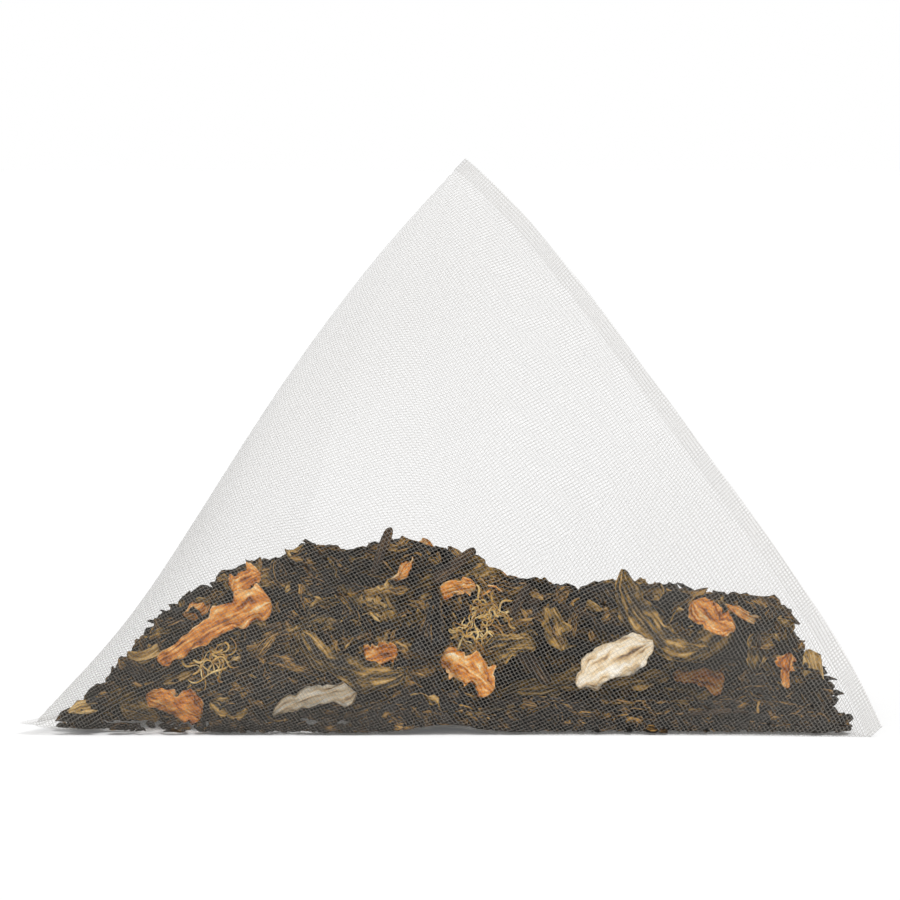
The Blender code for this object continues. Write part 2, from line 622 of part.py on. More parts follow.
def bed_columns(lines, front, rear):
    """The places across the bed, and its floor and top at each, as far out as it has room."""
    heights = (np.arange(lines.shape[1]) + 0.5) * SIGHT_STEP
    above_net = heights > NET_THICKNESS + 2 * CLEARANCE
    half_count = int(FRONT_EDGE / 2 / BED_SPACING)
    found = {}
    for step in range(-half_count, half_count + 1):
        place = BED_MIDDLE + step * BED_SPACING
        cell = lines.column_of(place)
        clear = np.flatnonzero((rear[cell] - front[cell] > BED_LEAST) & above_net)
        runs = np.split(clear, np.flatnonzero(np.diff(clear) > 1) + 1)
        longest = heights[max(runs, key=len)]
        heap_top = BED_HEIGHT * (1 - BED_FALL * ((place - BED_MIDDLE) / (FRONT_EDGE / 2)) ** 2)
        heap_top += BED_LUMP * math.sin(1.9 * place)
        longest = longest[longest < heap_top]
        if len(longest) * SIGHT_STEP > BED_LEAST:
            found[step] = (place, longest[0], longest[-1])
    first = last = 0
    while first - 1 in found:
        first -= 1
    while last + 1 in found:
        last += 1
    places, floors, tops = np.array([found[step] for step in range(first, last + 1)]).T
    return places, -eased(-floors), eased(tops)


def eased(tops):
    """The heights brought down until none stands more than one step above its neighbour."""
    ramp = np.arange(len(tops)) * BED_STEP
    tops = np.minimum.accumulate(tops - ramp) + ramp
    return (np.minimum.accumulate(tops[::-1] - ramp) + ramp)[::-1]


def make_bed(lines):
    """The small broken leaf between the larger pieces, as one lumpy body that fills what is left."""
    front, rear = bed_room(lines)
    places, floors, tops = bed_columns(lines, front, rear)
    rows = math.ceil(BED_HEIGHT / BED_ROW_HEIGHT)
    grid_front = np.zeros((len(places), rows, 3))
    grid_rear = np.zeros((len(places), rows, 3))
    for column, (place, floor, top) in enumerate(zip(places, floors, tops)):
        for row, height in enumerate(np.linspace(floor, top, rows)):
            cell = lines.column_of(place), lines.level_of(height)
            lump = BED_LUMP / 2 * (1 + math.sin(2.3 * place + 1.7 * row))
            lump = min(lump, (rear[cell] - front[cell]) / 5)
            grid_front[column, row] = (place, front[cell] + lump, height)
            grid_rear[column, row] = (place, rear[cell] - lump, height)
    return thin_piece("broken_leaf_bed", "dark_leaf", (grid_front, grid_rear))


def clear_scene():
    for old in list(bpy.data.objects):
        bpy.data.objects.remove(old)


def main():
    clear_scene()
    make_mesh_bag()
    lines = SightLines()
    for number, entry in enumerate(FRONT_PIECES):
        make_strip(lines, entry, number, False)
    for number, entry in enumerate(REAR_PIECES):
        make_strip(lines, entry, number + len(FRONT_PIECES), True)
    make_bed(lines)


main()
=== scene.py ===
"""Pyramid tea bag: a woven nylon net on four faces with loose leaf tea and petals inside it."""

import math

import bpy
import numpy as np
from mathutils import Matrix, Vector


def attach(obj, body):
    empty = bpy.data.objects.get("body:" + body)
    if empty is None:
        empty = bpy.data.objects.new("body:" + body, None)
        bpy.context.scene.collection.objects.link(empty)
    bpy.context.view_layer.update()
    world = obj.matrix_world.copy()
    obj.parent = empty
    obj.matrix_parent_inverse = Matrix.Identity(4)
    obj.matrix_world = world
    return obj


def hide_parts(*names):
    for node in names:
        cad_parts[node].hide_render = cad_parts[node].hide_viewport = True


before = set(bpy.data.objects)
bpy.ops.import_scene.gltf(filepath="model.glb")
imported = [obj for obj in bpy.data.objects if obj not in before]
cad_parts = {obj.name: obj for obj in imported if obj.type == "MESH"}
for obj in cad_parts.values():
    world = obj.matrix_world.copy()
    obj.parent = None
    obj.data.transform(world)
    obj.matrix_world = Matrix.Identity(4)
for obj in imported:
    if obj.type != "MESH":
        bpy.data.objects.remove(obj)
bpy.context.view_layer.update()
MM = 0.001  # the sections below work in millimetres


# The camera looks across the table at the front face, from a few degrees above, through a long
# lens. It is aimed over the middle of the front edge, half way up the bag.
LOOK_AT = np.array([0.0, -25.73, 20.3])
CAMERA_DISTANCE = 300.0
CAMERA_TILT = math.radians(4.0)
camera = bpy.data.objects.new("camera", bpy.data.cameras.new("camera"))
camera.data.lens = 170.0
camera.data.sensor_width = 36.0
camera_way = np.array([0.0, -math.cos(CAMERA_TILT), math.sin(CAMERA_TILT)])
camera_place = LOOK_AT + CAMERA_DISTANCE * camera_way
camera.location = Vector(camera_place * MM)
camera.rotation_euler = Vector((LOOK_AT - camera_place) * MM).to_track_quat("-Z", "Y").to_euler()
bpy.context.scene.collection.objects.link(camera)
bpy.context.scene.camera = camera


# The bag is a length of plain-woven nylon net, heat-sealed into a tube along a seam at the back
# and welded flat across both ends, with the two welds at right angles. That makes four faces.
# The threads run along the tube and round it, about 0.24 mm apart.
FRONT_EDGE = 58.6
BASE_DEPTH = 52.0
APEX_HEIGHT = 38.9
APEX_BEHIND_FRONT = 31.0
APEX_OFF_CENTRE = 1.5
CORNER_LIFT = 0.8
LEFT = np.array([-FRONT_EDGE / 2, -BASE_DEPTH / 2, CORNER_LIFT])
RIGHT = np.array([FRONT_EDGE / 2, -BASE_DEPTH / 2, CORNER_LIFT])
REAR = np.array([0.0, BASE_DEPTH / 2, CORNER_LIFT])
APEX = np.array([APEX_OFF_CENTRE, APEX_BEHIND_FRONT - BASE_DEPTH / 2, APEX_HEIGHT])
GROUND_WELD_LENGTH = float(np.linalg.norm(REAR - LEFT))
FACE_LENGTH = float(np.linalg.norm((RIGHT + APEX) / 2 - LEFT))
BAG_MIDDLE = np.array([0.314, -0.270, 0.0])  # of the footprint, where the frame has its origin

# The tube's hoops are rounded parallelograms, sharper close to the welds.
CORNER_SHARPNESS = 4.6
SHARPER_AT_WELDS = 9.0
HOOP_SAMPLES = 1441
LEAST_WIDTH_SHARE = 0.2
FOLD_STARTS = 0.42
FOLD_REACH = 0.3
NET_COLUMNS = 300
NET_ROWS = 150

# The welds' flat fins stand out beyond both ends of the tube.
WELD_THICKNESS = 0.22
WELD_WIDTH = 1.2
WELD_BOW = 1.6
WELD_RIPPLE = 0.12
FIN_ROWS = (1.0, 0.66, 0.33)


def unit(vector):
    """Each vector at a length of 1."""
    return vector / np.linalg.norm(vector, axis=-1, keepdims=True)


def rounded_square(turn, sharpness):
    """A square of half side 1 with rounded corners: the polar radius at an angle is
    (|sin|^n + |cos|^n)^(-1/n)."""
    across, up = np.abs(np.sin(turn)), np.abs(np.cos(turn))
    out_to = (across**sharpness + up**sharpness) ** (-1 / sharpness)
    return out_to * np.sin(turn), -out_to * np.cos(turn)


def net_surface(round_shares, along_shares, inset=0.0):
    """The net: hoops of one length, each a rounded parallelogram whose sides turn from the ground
    weld's direction into the upper weld's as the share along the tube goes from 0 to 1. Also each
    point's painted shade, which greys the cloth round its front left corner and in bands over the
    front and is paler along a painted highlight, and its place round the cloth: the way walked
    along the hoop's two directions, which has the threads evenly spaced on each of the four faces."""
    along = np.asarray(along_shares, float)[:, None, None]
    middle = (LEFT + REAR) / 2 * (1 - along) + (RIGHT + APEX) / 2 * along
    towards_right = (RIGHT - APEX) / 2 * along
    towards_rear = (REAR - LEFT) / 2 * (1 - along)
    thin = WELD_THICKNESS / 2
    towards_right = towards_right + np.array([0.0, 0.0, -thin]) * (1 - along)
    towards_rear = towards_rear + unit(REAR - LEFT) * thin * along
    sharpness = CORNER_SHARPNESS + SHARPER_AT_WELDS * (2 * along - 1) ** 6
    turn = np.linspace(-math.pi, math.pi, HOOP_SAMPLES)[None, :, None]
    side, over = rounded_square(turn, sharpness)
    hoop = side * towards_right + over * towards_rear
    steps = np.linalg.norm(np.diff(hoop, axis=1), axis=2)
    walked = np.concatenate([np.zeros((len(steps), 1)), np.cumsum(steps, axis=1)], axis=1)
    scale = (2 * GROUND_WELD_LENGTH / walked[:, -1])[:, None, None]
    wanted = np.asarray(round_shares, float) + 0.5
    turns = np.stack([np.interp(wanted * row[-1], row, turn[0, :, 0]) for row in walked])
    side, over = rounded_square(turns[..., None], sharpness)
    wide_right = np.linalg.norm(towards_right, axis=2, keepdims=True) * scale
    wide_rear = np.linalg.norm(towards_rear, axis=2, keepdims=True) * scale
    in_right = np.maximum(wide_right - inset, LEAST_WIDTH_SHARE * wide_right)
    in_rear = np.maximum(wide_rear - inset, LEAST_WIDTH_SHARE * wide_rear)
    points = middle + side * unit(towards_right) * in_right
    points = points + over * unit(towards_rear) * in_rear
    sideways = np.where(over < 0, np.abs(side), 2 - np.abs(side))
    round_mm = np.linalg.norm((RIGHT - APEX) / 2) * along * sideways
    round_mm = round_mm + np.linalg.norm((REAR - LEFT) / 2) * (1 - along) * (1 + over)
    round_mm = round_mm[..., 0] * np.where(np.asarray(round_shares) < 0, -1, 1)
    # Painted shade: the cloth is made greyer round the hoop's front left corner, most towards the ground
    # weld, where it turns away from the light; this also stands in for its threads crowding together when
    # seen edge-on.
    at_corner = np.clip((np.abs(side * over) - FOLD_STARTS) / FOLD_REACH, 0, 1) ** 1.5
    on_left_fold = np.where((side < 0) & (over < 0), 1.3 - along**3, 0.0)
    painted_shade = (at_corner * on_left_fold)[..., 0]
    painted_shade = painted_shade + painted_shade_and_highlight(along[..., 0], round_mm) * (over[..., 0] < 0)
    return slackened(points, side, over, along, inset) - BAG_MIDDLE, painted_shade, round_mm


# The front face gets painted shade: it is made greyer at the left end, beside the upper weld, and
# above a soft crease along the threads. A painted highlight runs as a pale streak under the weld.
LEFT_END_SHADE = 0.5
BY_WELD_SHADE = 0.6
ABOVE_CREASE_SHADE = 0.2
CREASE_MM = -5.9
STREAK_HIGHLIGHT = 0.4
STREAK_SHARE = 0.9
STREAK_SLOPE = 0.0061


def painted_shade_and_highlight(along, round_mm):
    """How much painted shade the front face gets at each point: straight slopes from 0 to 1 over the share
    along the tube and over the millimetres round it, less a bell curve across the painted highlight of the
    pale streak."""
    left_end = LEFT_END_SHADE * np.clip((0.58 - along) / 0.25, 0, 1)
    by_weld = BY_WELD_SHADE * np.clip((along - 0.76) / 0.14, 0, 1) * np.clip((round_mm + 1.0) / 8.0, 0, 1)
    above_crease = ABOVE_CREASE_SHADE * np.clip((CREASE_MM - round_mm) / 1.2, 0, 1)
    above_crease = above_crease * np.clip((along - 0.5) / 0.1, 0, 1)
    off_streak = along - STREAK_SHARE + STREAK_SLOPE * (round_mm + 1.8)
    streak = STREAK_HIGHLIGHT * np.exp(-((off_streak / 0.012) ** 2)) * (np.abs(round_mm - 3.0) < 6)
    return left_end + by_weld + above_crease - streak


# How full and how slack the bag is. A SHARE is one of the way along the tube.
SHOULDER_SWELL = 0.95
SHOULDER_SHARE = 0.56
SHOULDER_REACH_SHARE = 0.27
SHOULDER_WAY = unit(np.array([-1.0, -0.35, 0.35]))
EAR_PINCH = 0.35
EAR_SHARE = 0.16
EAR_REACH_SHARE = 0.14
REAR_SWELL = 4.0
REAR_WAY = np.array([0.0, 0.8, 0.6])
BASE_SAG = 1.6
NICK_DEPTH = 0.6
NICK_REACH = 3.0


def slackened(points, side, over, along, inset):
    """The swell at the shoulders, the pinched ears, the bowed weld, the flat base and the nick in
    its front edge, each a smooth bump over the hoop's side and the share along the tube."""
    tube_axis = unit((RIGHT + APEX) / 2 - (LEFT + REAR) / 2)
    points = points + tube_axis * WELD_BOW * (1 - side**4) * along**4
    left_fold = np.clip(-side, 0, 1) * np.clip(1 - over, 0, 2) / 2
    shoulder = SHOULDER_SWELL * np.exp(-(((along - SHOULDER_SHARE) / SHOULDER_REACH_SHARE) ** 2))
    ear = EAR_PINCH * np.exp(-(((along - EAR_SHARE) / EAR_REACH_SHARE) ** 2))
    points = points + SHOULDER_WAY * left_fold * (shoulder - ear)
    rear_fold = np.clip(-side, 0, 1) * np.clip(1 + over, 0, 2) / 2
    points = points + REAR_WAY * rear_fold * REAR_SWELL * np.sin(math.pi * along)
    base_share = np.clip(1.25 * side, 0, 1) ** 2
    points = points - np.array([0.0, 0.0, BASE_SAG]) * base_share * np.sin(math.pi * along) ** 0.6
    from_nick = np.hypot(points[..., 0], points[..., 1] - LEFT[1])
    nick = NICK_DEPTH * np.exp(-((from_nick / NICK_REACH) ** 2))
    points[..., 2] = np.maximum(points[..., 2], nick + inset)
    return points


def net_with_welds():
    """The net's grid with the welded fins beyond both ends, and each point's place in the flat
    cloth in millimetres. The columns run once round, with the last at the first one's place."""
    round_shares = np.linspace(-0.5, 0.5, NET_COLUMNS + 1)
    along_shares = np.linspace(0.0, 1.0, NET_ROWS + 1)
    points, painted_shade, round_mm = net_surface(round_shares, along_shares)
    ground_out = unit(np.cross(np.array([0.0, 0.0, 1.0]), REAR - LEFT))
    upper_out = unit((RIGHT + APEX) / 2 - (LEFT + REAR) / 2)
    upper_out = unit(upper_out - unit(RIGHT - APEX) * np.dot(upper_out, unit(RIGHT - APEX)))
    fin_steps = np.array(FIN_ROWS)[:, None, None] * WELD_WIDTH
    ripple = WELD_RIPPLE * np.sin(round_shares * 61.0 + 1.0)[None, :, None] * fin_steps / WELD_WIDTH
    ground_fin = points[:1] + ground_out * fin_steps
    upper_fin = points[-1:] + upper_out * fin_steps[::-1]
    upper_fin = upper_fin + unit(np.cross(upper_out, RIGHT - APEX)) * ripple[::-1]
    beyond_end = fin_steps.ravel()
    along_mm = np.concatenate([-beyond_end, along_shares * FACE_LENGTH, FACE_LENGTH + beyond_end[::-1]])
    fins = ((len(FIN_ROWS), len(FIN_ROWS)), (0, 0))
    round_mm = np.pad(round_mm, fins, mode="edge")
    cloth = np.stack([round_mm, np.broadcast_to(along_mm[:, None], round_mm.shape)], axis=-1)
    return np.concatenate([ground_fin, points, upper_fin]), cloth, np.pad(painted_shade, fins)


def add_piece(name, points, faces, material, uv, tone):
    """A mesh object from whole arrays: points in millimetres, faces of four corners, and for each
    corner of each face its place in the flat piece, and for each point its tone."""
    mesh = bpy.data.meshes.new(name)
    mesh.vertices.add(len(points))
    mesh.vertices.foreach_set("co", (points * MM).astype(np.float32).ravel())
    mesh.loops.add(faces.size)
    mesh.loops.foreach_set("vertex_index", faces.ravel().astype(np.int32))
    mesh.polygons.add(len(faces))
    mesh.polygons.foreach_set("loop_start", np.arange(0, faces.size, 4, dtype=np.int32))
    mesh.polygons.foreach_set("loop_total", np.full(len(faces), 4, dtype=np.int32))
    mesh.polygons.foreach_set("use_smooth", np.ones(len(faces), dtype=bool))
    layer = mesh.uv_layers.new(name="flat")
    layer.data.foreach_set("uv", uv.astype(np.float32).ravel())
    attribute = mesh.attributes.new("tone", "FLOAT", "POINT")
    attribute.data.foreach_set("value", tone.astype(np.float32).ravel())
    mesh.update(calc_edges=True)
    mesh.validate()
    mesh.materials.append(material)
    piece = bpy.data.objects.new(name, mesh)
    bpy.context.scene.collection.objects.link(piece)
    return piece


def linear(hex_colour):
    """The sRGB hex colour as linear red, green, blue and a full alpha."""
    shares = np.array([int(hex_colour[i : i + 2], 16) for i in (1, 3, 5)]) / 255
    straight = np.where(shares <= 0.04045, shares / 12.92, ((shares + 0.055) / 1.055) ** 2.4)
    return (*straight.tolist(), 1.0)


def new_material(name):
    """A new material, its node tree and its Principled shader."""
    made = bpy.data.materials.new(name)
    made.use_nodes = True
    tree = made.node_tree
    return made, tree, tree.nodes["Principled BSDF"]


def node(tree, kind, inputs=(), **settings):
    """Adds a node, sets what is named, then takes each (socket, term) pair: a term that is another
    node's output is linked, and any other is the socket's value."""
    made = tree.nodes.new(kind)
    for key, value in settings.items():
        if hasattr(made, key):
            setattr(made, key, value)
        else:
            made.inputs[key].default_value = value
    for socket, term in inputs:
        if isinstance(term, bpy.types.NodeSocket):
            tree.links.new(term, made.inputs[socket])
        else:
            made.inputs[socket].default_value = term
    return made


def maths(tree, operation, *terms):
    """The output of a Math node on numbers or sockets."""
    return node(tree, "ShaderNodeMath", enumerate(terms), operation=operation).outputs[0]


THREAD_PITCH = 0.245
THREAD_WIDTH = 0.055
THREAD_SWAY = 0.9
SWAYS_A_MM = 0.11
THREAD_COVER = 0.33
PAINTED_SHADE_COVER = 0.07
FUSED_COVER = 0.09
SEAM_WIDTH = 0.3


def nylon_net_material():
    """Clear nylon monofilament, plain woven: the eye sees fine pale threads with open squares
    between them, and thin film where they are fused at the welds and along the back seam."""
    made, tree, shader = new_material("woven_clear_nylon")
    flat = node(tree, "ShaderNodeUVMap", uv_map="flat").outputs[0]
    wander = node(tree, "ShaderNodeTexNoise", [("Vector", flat)], Scale=SWAYS_A_MM, Detail=1.0)
    sway = [(0, wander.outputs["Color"]), (1, (0.5, 0.5, 0.5))]
    sway = node(tree, "ShaderNodeVectorMath", sway, operation="SUBTRACT")
    swayed = [(0, sway.outputs[0]), (1, (THREAD_SWAY, THREAD_SWAY, 0.0)), (2, flat)]
    swayed = node(tree, "ShaderNodeVectorMath", swayed, operation="MULTIPLY_ADD").outputs[0]
    axes = node(tree, "ShaderNodeSeparateXYZ", [(0, swayed)])
    profiles = []
    for axis in ("X", "Y"):
        turns = maths(tree, "FRACT", maths(tree, "DIVIDE", axes.outputs[axis], THREAD_PITCH))
        off_centre = maths(tree, "ABSOLUTE", maths(tree, "SUBTRACT", turns, 0.5))
        profiles.append(maths(tree, "DIVIDE", off_centre, THREAD_WIDTH / THREAD_PITCH / 2))
    nearest = maths(tree, "MINIMUM", *profiles)
    thread = maths(tree, "LESS_THAN", nearest, 1.0)
    round_rod = maths(tree, "SUBTRACT", 1.0, maths(tree, "POWER", nearest, 2.0))
    height = maths(tree, "SQRT", maths(tree, "MAXIMUM", round_rod, 0.0))
    cloth = node(tree, "ShaderNodeSeparateXYZ", [(0, flat)])
    ground_weld = maths(tree, "LESS_THAN", cloth.outputs["Y"], 0.0)
    upper_weld = maths(tree, "GREATER_THAN", cloth.outputs["Y"], FACE_LENGTH)
    from_front = maths(tree, "ABSOLUTE", cloth.outputs["X"])
    back_seam = maths(tree, "GREATER_THAN", from_front, GROUND_WELD_LENGTH - SEAM_WIDTH)
    fused = maths(tree, "MAXIMUM", maths(tree, "MAXIMUM", ground_weld, upper_weld), back_seam)
    # The tone attribute is painted shade and a painted highlight: where it is above zero it adds cover and
    # the cloth shows greyer, where it is below zero it takes cover away and the cloth shows paler.
    painted_shade = node(tree, "ShaderNodeAttribute", attribute_name="tone").outputs["Fac"]
    grey = maths(tree, "MULTIPLY", painted_shade, PAINTED_SHADE_COVER)
    thread_cover = maths(tree, "MULTIPLY_ADD", thread, THREAD_COVER, grey)
    cover = maths(tree, "MAXIMUM", thread_cover, maths(tree, "MULTIPLY", fused, FUSED_COVER))
    tree.links.new(cover, shader.inputs["Alpha"])
    bump = node(tree, "ShaderNodeBump", [("Height", height)], Strength=0.6, Distance=0.05 * MM)
    tree.links.new(bump.outputs[0], shader.inputs["Normal"])
    shader.inputs["Base Color"].default_value = linear("#A59F96")
    shader.inputs["Roughness"].default_value = 0.32
    shader.inputs["IOR"].default_value = 1.53
    return made


net_grid, net_cloth, net_painted_shade = net_with_welds()
index = np.arange(net_grid.shape[0] * NET_COLUMNS).reshape(-1, NET_COLUMNS)
index = np.concatenate([index, index[:, :1]], axis=1)
net_faces, net_uv = (
    np.stack([grid[:-1, :-1], grid[:-1, 1:], grid[1:, 1:], grid[1:, :-1]], axis=2)
    for grid in (index, net_cloth)
)
net_points = net_grid[:, :-1].reshape(-1, 3)
net_faces = net_faces.reshape(-1, 4)
# The net's tone attribute carries its painted shade and painted highlight.
bag = add_piece("nylon_net_bag", net_points, net_faces, nylon_net_material(), net_uv, net_painted_shade[:, :-1])
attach(bag, "root")
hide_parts("mesh_bag")


# The leaf is whole-leaf tea: twisted, rolled and broken dry leaves, near black with golden and
# olive edges. Each of the larger ones lies against the net, where its solid is.
LEAF_ROWS = 49
LEAF_AROUND = 24
CRUMPLE_WAVES = (1.2, 2.2, 3.3, 4.7, 6.5, 9.0)  # each in radians a millimetre
TEAR_WAVES = (3, 6, 11, 19, 31)  # each in radians over half the leaf's length
LEAST_BEND = 1.0  # in degrees
LEAST_CURL = 0.05  # in radians


def crumple(along_mm, across_mm, rng):
    """Height of a crumpled leaf: a sum of waves of random direction and phase, every other one
    folded up into sharp ridges, and the finer the lower."""
    count = len(along_mm)
    height = 0
    for number, wave in enumerate(CRUMPLE_WAVES):
        way = rng.normal(0, 0.5, (count, 1, 1))
        phase = rng.uniform(0, 2 * math.pi, (count, 1, 1))
        walked = 0.55 * np.sin(way) * along_mm + np.cos(way) * across_mm
        swing = np.sin(wave * walked + phase + np.sin(along_mm + phase))
        height = height + (1 - 2 * np.abs(swing) if number % 2 else swing) / (1 + wave)
    return height


def leaf_solids(shape, rows, around, rng):
    """Closed thin bodies, many at once, from a dict of columns: length, width, thickness, bend,
    curl, twist, taper, ragged, crinkle, skew and turn. Round each section the across share is a
    flattened cosine and the thickness a flattened sine. The outline narrows to both tips by a power
    and is torn by waves. The section is curled round a circle, turned by a share of the twist, and
    bent along an arc."""
    leaf = {key: np.asarray(value, float).reshape(-1, 1, 1) for key, value in shape.items()}
    count = len(leaf["length"])
    along = np.linspace(-1, 1, rows)[None, :, None]
    angle = np.linspace(0, 2 * math.pi, around, endpoint=False)[None, None, :]
    across = np.sign(np.cos(angle)) * np.abs(np.cos(angle)) ** 0.8
    depth = np.sign(np.sin(angle)) * np.abs(np.sin(angle)) ** 0.6
    outline = (1 - np.abs(along) ** leaf["taper"] * 0.96) ** 0.55
    tears = np.zeros((count, rows, around))
    for wave in TEAR_WAVES:
        phases = rng.uniform(0, 2 * math.pi, (2, count, 1, 1))
        sided = np.where(across > 0, np.sin(wave * along + phases[0]), np.sin(wave * along + phases[1]))
        tears = tears + sided * (9 / (wave + 9))
    swell = 1 + leaf["skew"] * along + 0.22 * np.sin(2.3 * along + rng.uniform(0, 6, (count, 1, 1)))
    half = leaf["width"] / 2 * outline * swell * (1 + leaf["ragged"] * tears)
    reach = across * half
    along_mm = np.broadcast_to(along * leaf["length"] / 2, reach.shape)
    lift = leaf["crinkle"] * crumple(along_mm, reach, rng) * np.minimum(1, outline * 1.6)
    lift = lift + depth * leaf["thickness"] / 2 * np.minimum(1, 0.3 + outline)
    radius = leaf["width"] / np.maximum(np.radians(np.abs(leaf["curl"])), LEAST_CURL)
    flat_across = (radius - lift) * np.sin(reach / radius)
    flat_raised = radius - (radius - lift) * np.cos(reach / radius)
    turned = np.radians(leaf["twist"]) * along / 2 + leaf["turn"]
    sideways = flat_across * np.cos(turned) - flat_raised * np.sin(turned)
    raised = flat_across * np.sin(turned) + flat_raised * np.cos(turned)
    bend = np.radians(np.where(np.abs(leaf["bend"]) < LEAST_BEND, LEAST_BEND, leaf["bend"]))
    arc = bend / 2 * along
    run = leaf["length"] / bend * np.sin(arc) + sideways * np.sin(arc)
    rise = leaf["length"] / bend * (np.cos(arc) - 1) + sideways * np.cos(arc)
    flat = np.stack(np.broadcast_arrays(along * leaf["length"] / 2, across), axis=-1)
    return np.stack([run, raised, rise], axis=-1), flat


def ring_faces(count, rows, around):
    """Faces of closed bodies that are rows of rings, with each end ring filled by quads."""
    ring = np.arange(around)
    following = (ring + 1) % around
    start = np.arange(rows - 1)[:, None] * around
    here, beside = start + ring, start + following
    walls = np.stack([here, beside, beside + around, here + around], axis=-1)
    inner = np.arange(1, around // 2)
    first = np.stack([inner - 1, (around + 1 - inner) % around, around - inner, inner], axis=-1)
    last = first[:, ::-1] + (rows - 1) * around
    one = np.concatenate([walls.reshape(-1, 4), first, last])
    return (one[None] + np.arange(count)[:, None, None] * rows * around).reshape(-1, 4)


def turned_by(points, angle):
    """The points turned in the plane of the front."""
    across = points[..., 0] * np.cos(angle) - points[..., 2] * np.sin(angle)
    up = points[..., 0] * np.sin(angle) + points[..., 2] * np.cos(angle)
    return np.stack([across, points[..., 1], up], axis=-1)


def best_plane(cloud):
    """Depth as a plane over across and up: its two slopes and its height, by least squares."""
    over = np.stack([cloud[:, 0], cloud[:, 2], np.ones(len(cloud))], axis=1)
    return np.linalg.lstsq(over, cloud[:, 1], rcond=None)[0]


def settled_on(points, cad_node):
    """The points moved to where the solid of that name lies: their outline in the front's plane is
    centred on it, and they are sheared in depth until the best plane through them is its plane."""
    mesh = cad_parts[cad_node].data
    solid = np.zeros(len(mesh.vertices) * 3, np.float32)
    mesh.vertices.foreach_get("co", solid)
    solid = solid.reshape(-1, 3).astype(float) / MM
    cloud = points.reshape(-1, 3).copy()
    for axis in (0, 2):
        wanted = solid[:, axis].min() + solid[:, axis].max()
        cloud[:, axis] += (wanted - cloud[:, axis].min() - cloud[:, axis].max()) / 2
    slopes = best_plane(solid) - best_plane(cloud)
    cloud[:, 1] += slopes[0] * cloud[:, 0] + slopes[1] * cloud[:, 2] + slopes[2]
    return cloud.reshape(points.shape)


def ramp(tree, source, stops):
    """A colour ramp over (place, hex colour) stops, and its colour."""
    made = node(tree, "ShaderNodeValToRGB", [(0, source)])
    elements = made.color_ramp.elements
    while len(elements) < len(stops):
        elements.new(0.5)
    for element, (place, colour) in zip(elements, stops):
        element.position = place
        element.color = linear(colour)
    return made.outputs[0]


FIBRE_STRETCH = (0.26, 2.4, 1.0)  # fine across the leaf and long along it
BLOTCHES_A_MM = 1.1
EDGE_STARTS = 0.9
EDGE_SHARPNESS = 12.0
PATCH_LEVEL = 0.55
PATCH_SHARPNESS = 7.0


def dried_leaf_material(name, stops, edge_colour, edge_share, roughness, streak=2.0, blotch=1.25):
    """Dry rolled leaf: dull and fibrous along its length, in the colours of its tone, with torn
    edges where the paler inside of the leaf shows."""
    made, tree, shader = new_material(name)
    flat = node(tree, "ShaderNodeUVMap", uv_map="flat").outputs[0]
    place = node(tree, "ShaderNodeTexCoord").outputs["Object"]
    tone = node(tree, "ShaderNodeAttribute", attribute_name="tone").outputs["Fac"]
    fibres = node(tree, "ShaderNodeMapping", [("Vector", flat)], Scale=FIBRE_STRETCH).outputs[0]
    streaks = node(tree, "ShaderNodeTexNoise", [("Vector", fibres)], Scale=1.6, Detail=4.0)
    streaks = streaks.outputs["Fac"]
    blotches = node(tree, "ShaderNodeTexNoise", [("Vector", place)], Detail=5.0, Roughness=0.65)
    blotches.inputs["Scale"].default_value = BLOTCHES_A_MM / MM
    blotches = blotches.outputs["Fac"]
    shade = maths(tree, "MULTIPLY_ADD", maths(tree, "SUBTRACT", streaks, 0.5), streak, tone)
    shade = maths(tree, "MULTIPLY_ADD", maths(tree, "SUBTRACT", blotches, 0.5), blotch, shade)
    colour = ramp(tree, shade, stops)
    across = maths(tree, "ABSOLUTE", node(tree, "ShaderNodeSeparateXYZ", [(0, flat)]).outputs["Y"])
    edge = maths(tree, "MULTIPLY", maths(tree, "SUBTRACT", across, EDGE_STARTS), EDGE_SHARPNESS)
    edge = node(tree, "ShaderNodeClamp", [(0, edge)])
    patchy = maths(tree, "SUBTRACT", blotches, PATCH_LEVEL)
    patchy = maths(tree, "MULTIPLY_ADD", patchy, PATCH_SHARPNESS, edge_share)
    patchy = node(tree, "ShaderNodeClamp", [(0, patchy)])
    edge = maths(tree, "MULTIPLY", edge.outputs[0], patchy.outputs[0])
    mixed = [(0, edge), (6, colour), (7, linear(edge_colour))]
    mixed = node(tree, "ShaderNodeMix", mixed, data_type="RGBA")
    tree.links.new(mixed.outputs[2], shader.inputs["Base Color"])
    relief = maths(tree, "MULTIPLY_ADD", blotches, 0.8, streaks)
    bump = node(tree, "ShaderNodeBump", [("Height", relief)], Strength=1.0, Distance=0.22 * MM)
    tree.links.new(bump.outputs[0], shader.inputs["Normal"])
    shader.inputs["Roughness"].default_value = roughness
    shader.inputs["Specular IOR Level"].default_value = 0.2
    return made


# Black tea, rolled and fired: near black, with golden brown where a leaf bud's down shows
DARK_STOPS = (
    (0.12, "#040303"), (0.38, "#120D0A"), (0.52, "#281D14"),
    (0.64, "#56401F"), (0.77, "#90692F"), (0.95, "#C89C55"),
)
dark_leaf = dried_leaf_material("rolled_black_tea", DARK_STOPS, "#A47A45", 0.3, 0.42)
# Tea leaf that was less fired: dull olive to straw
OLIVE_STOPS = (
    (0.1, "#0F0B07"), (0.35, "#2F230F"), (0.5, "#5A451F"),
    (0.64, "#8A6A30"), (0.8, "#B58C46"), (1.0, "#D4B277"),
)
olive_leaf = dried_leaf_material("dry_olive_leaf", OLIVE_STOPS, "#C49A55", 0.3, 0.5)
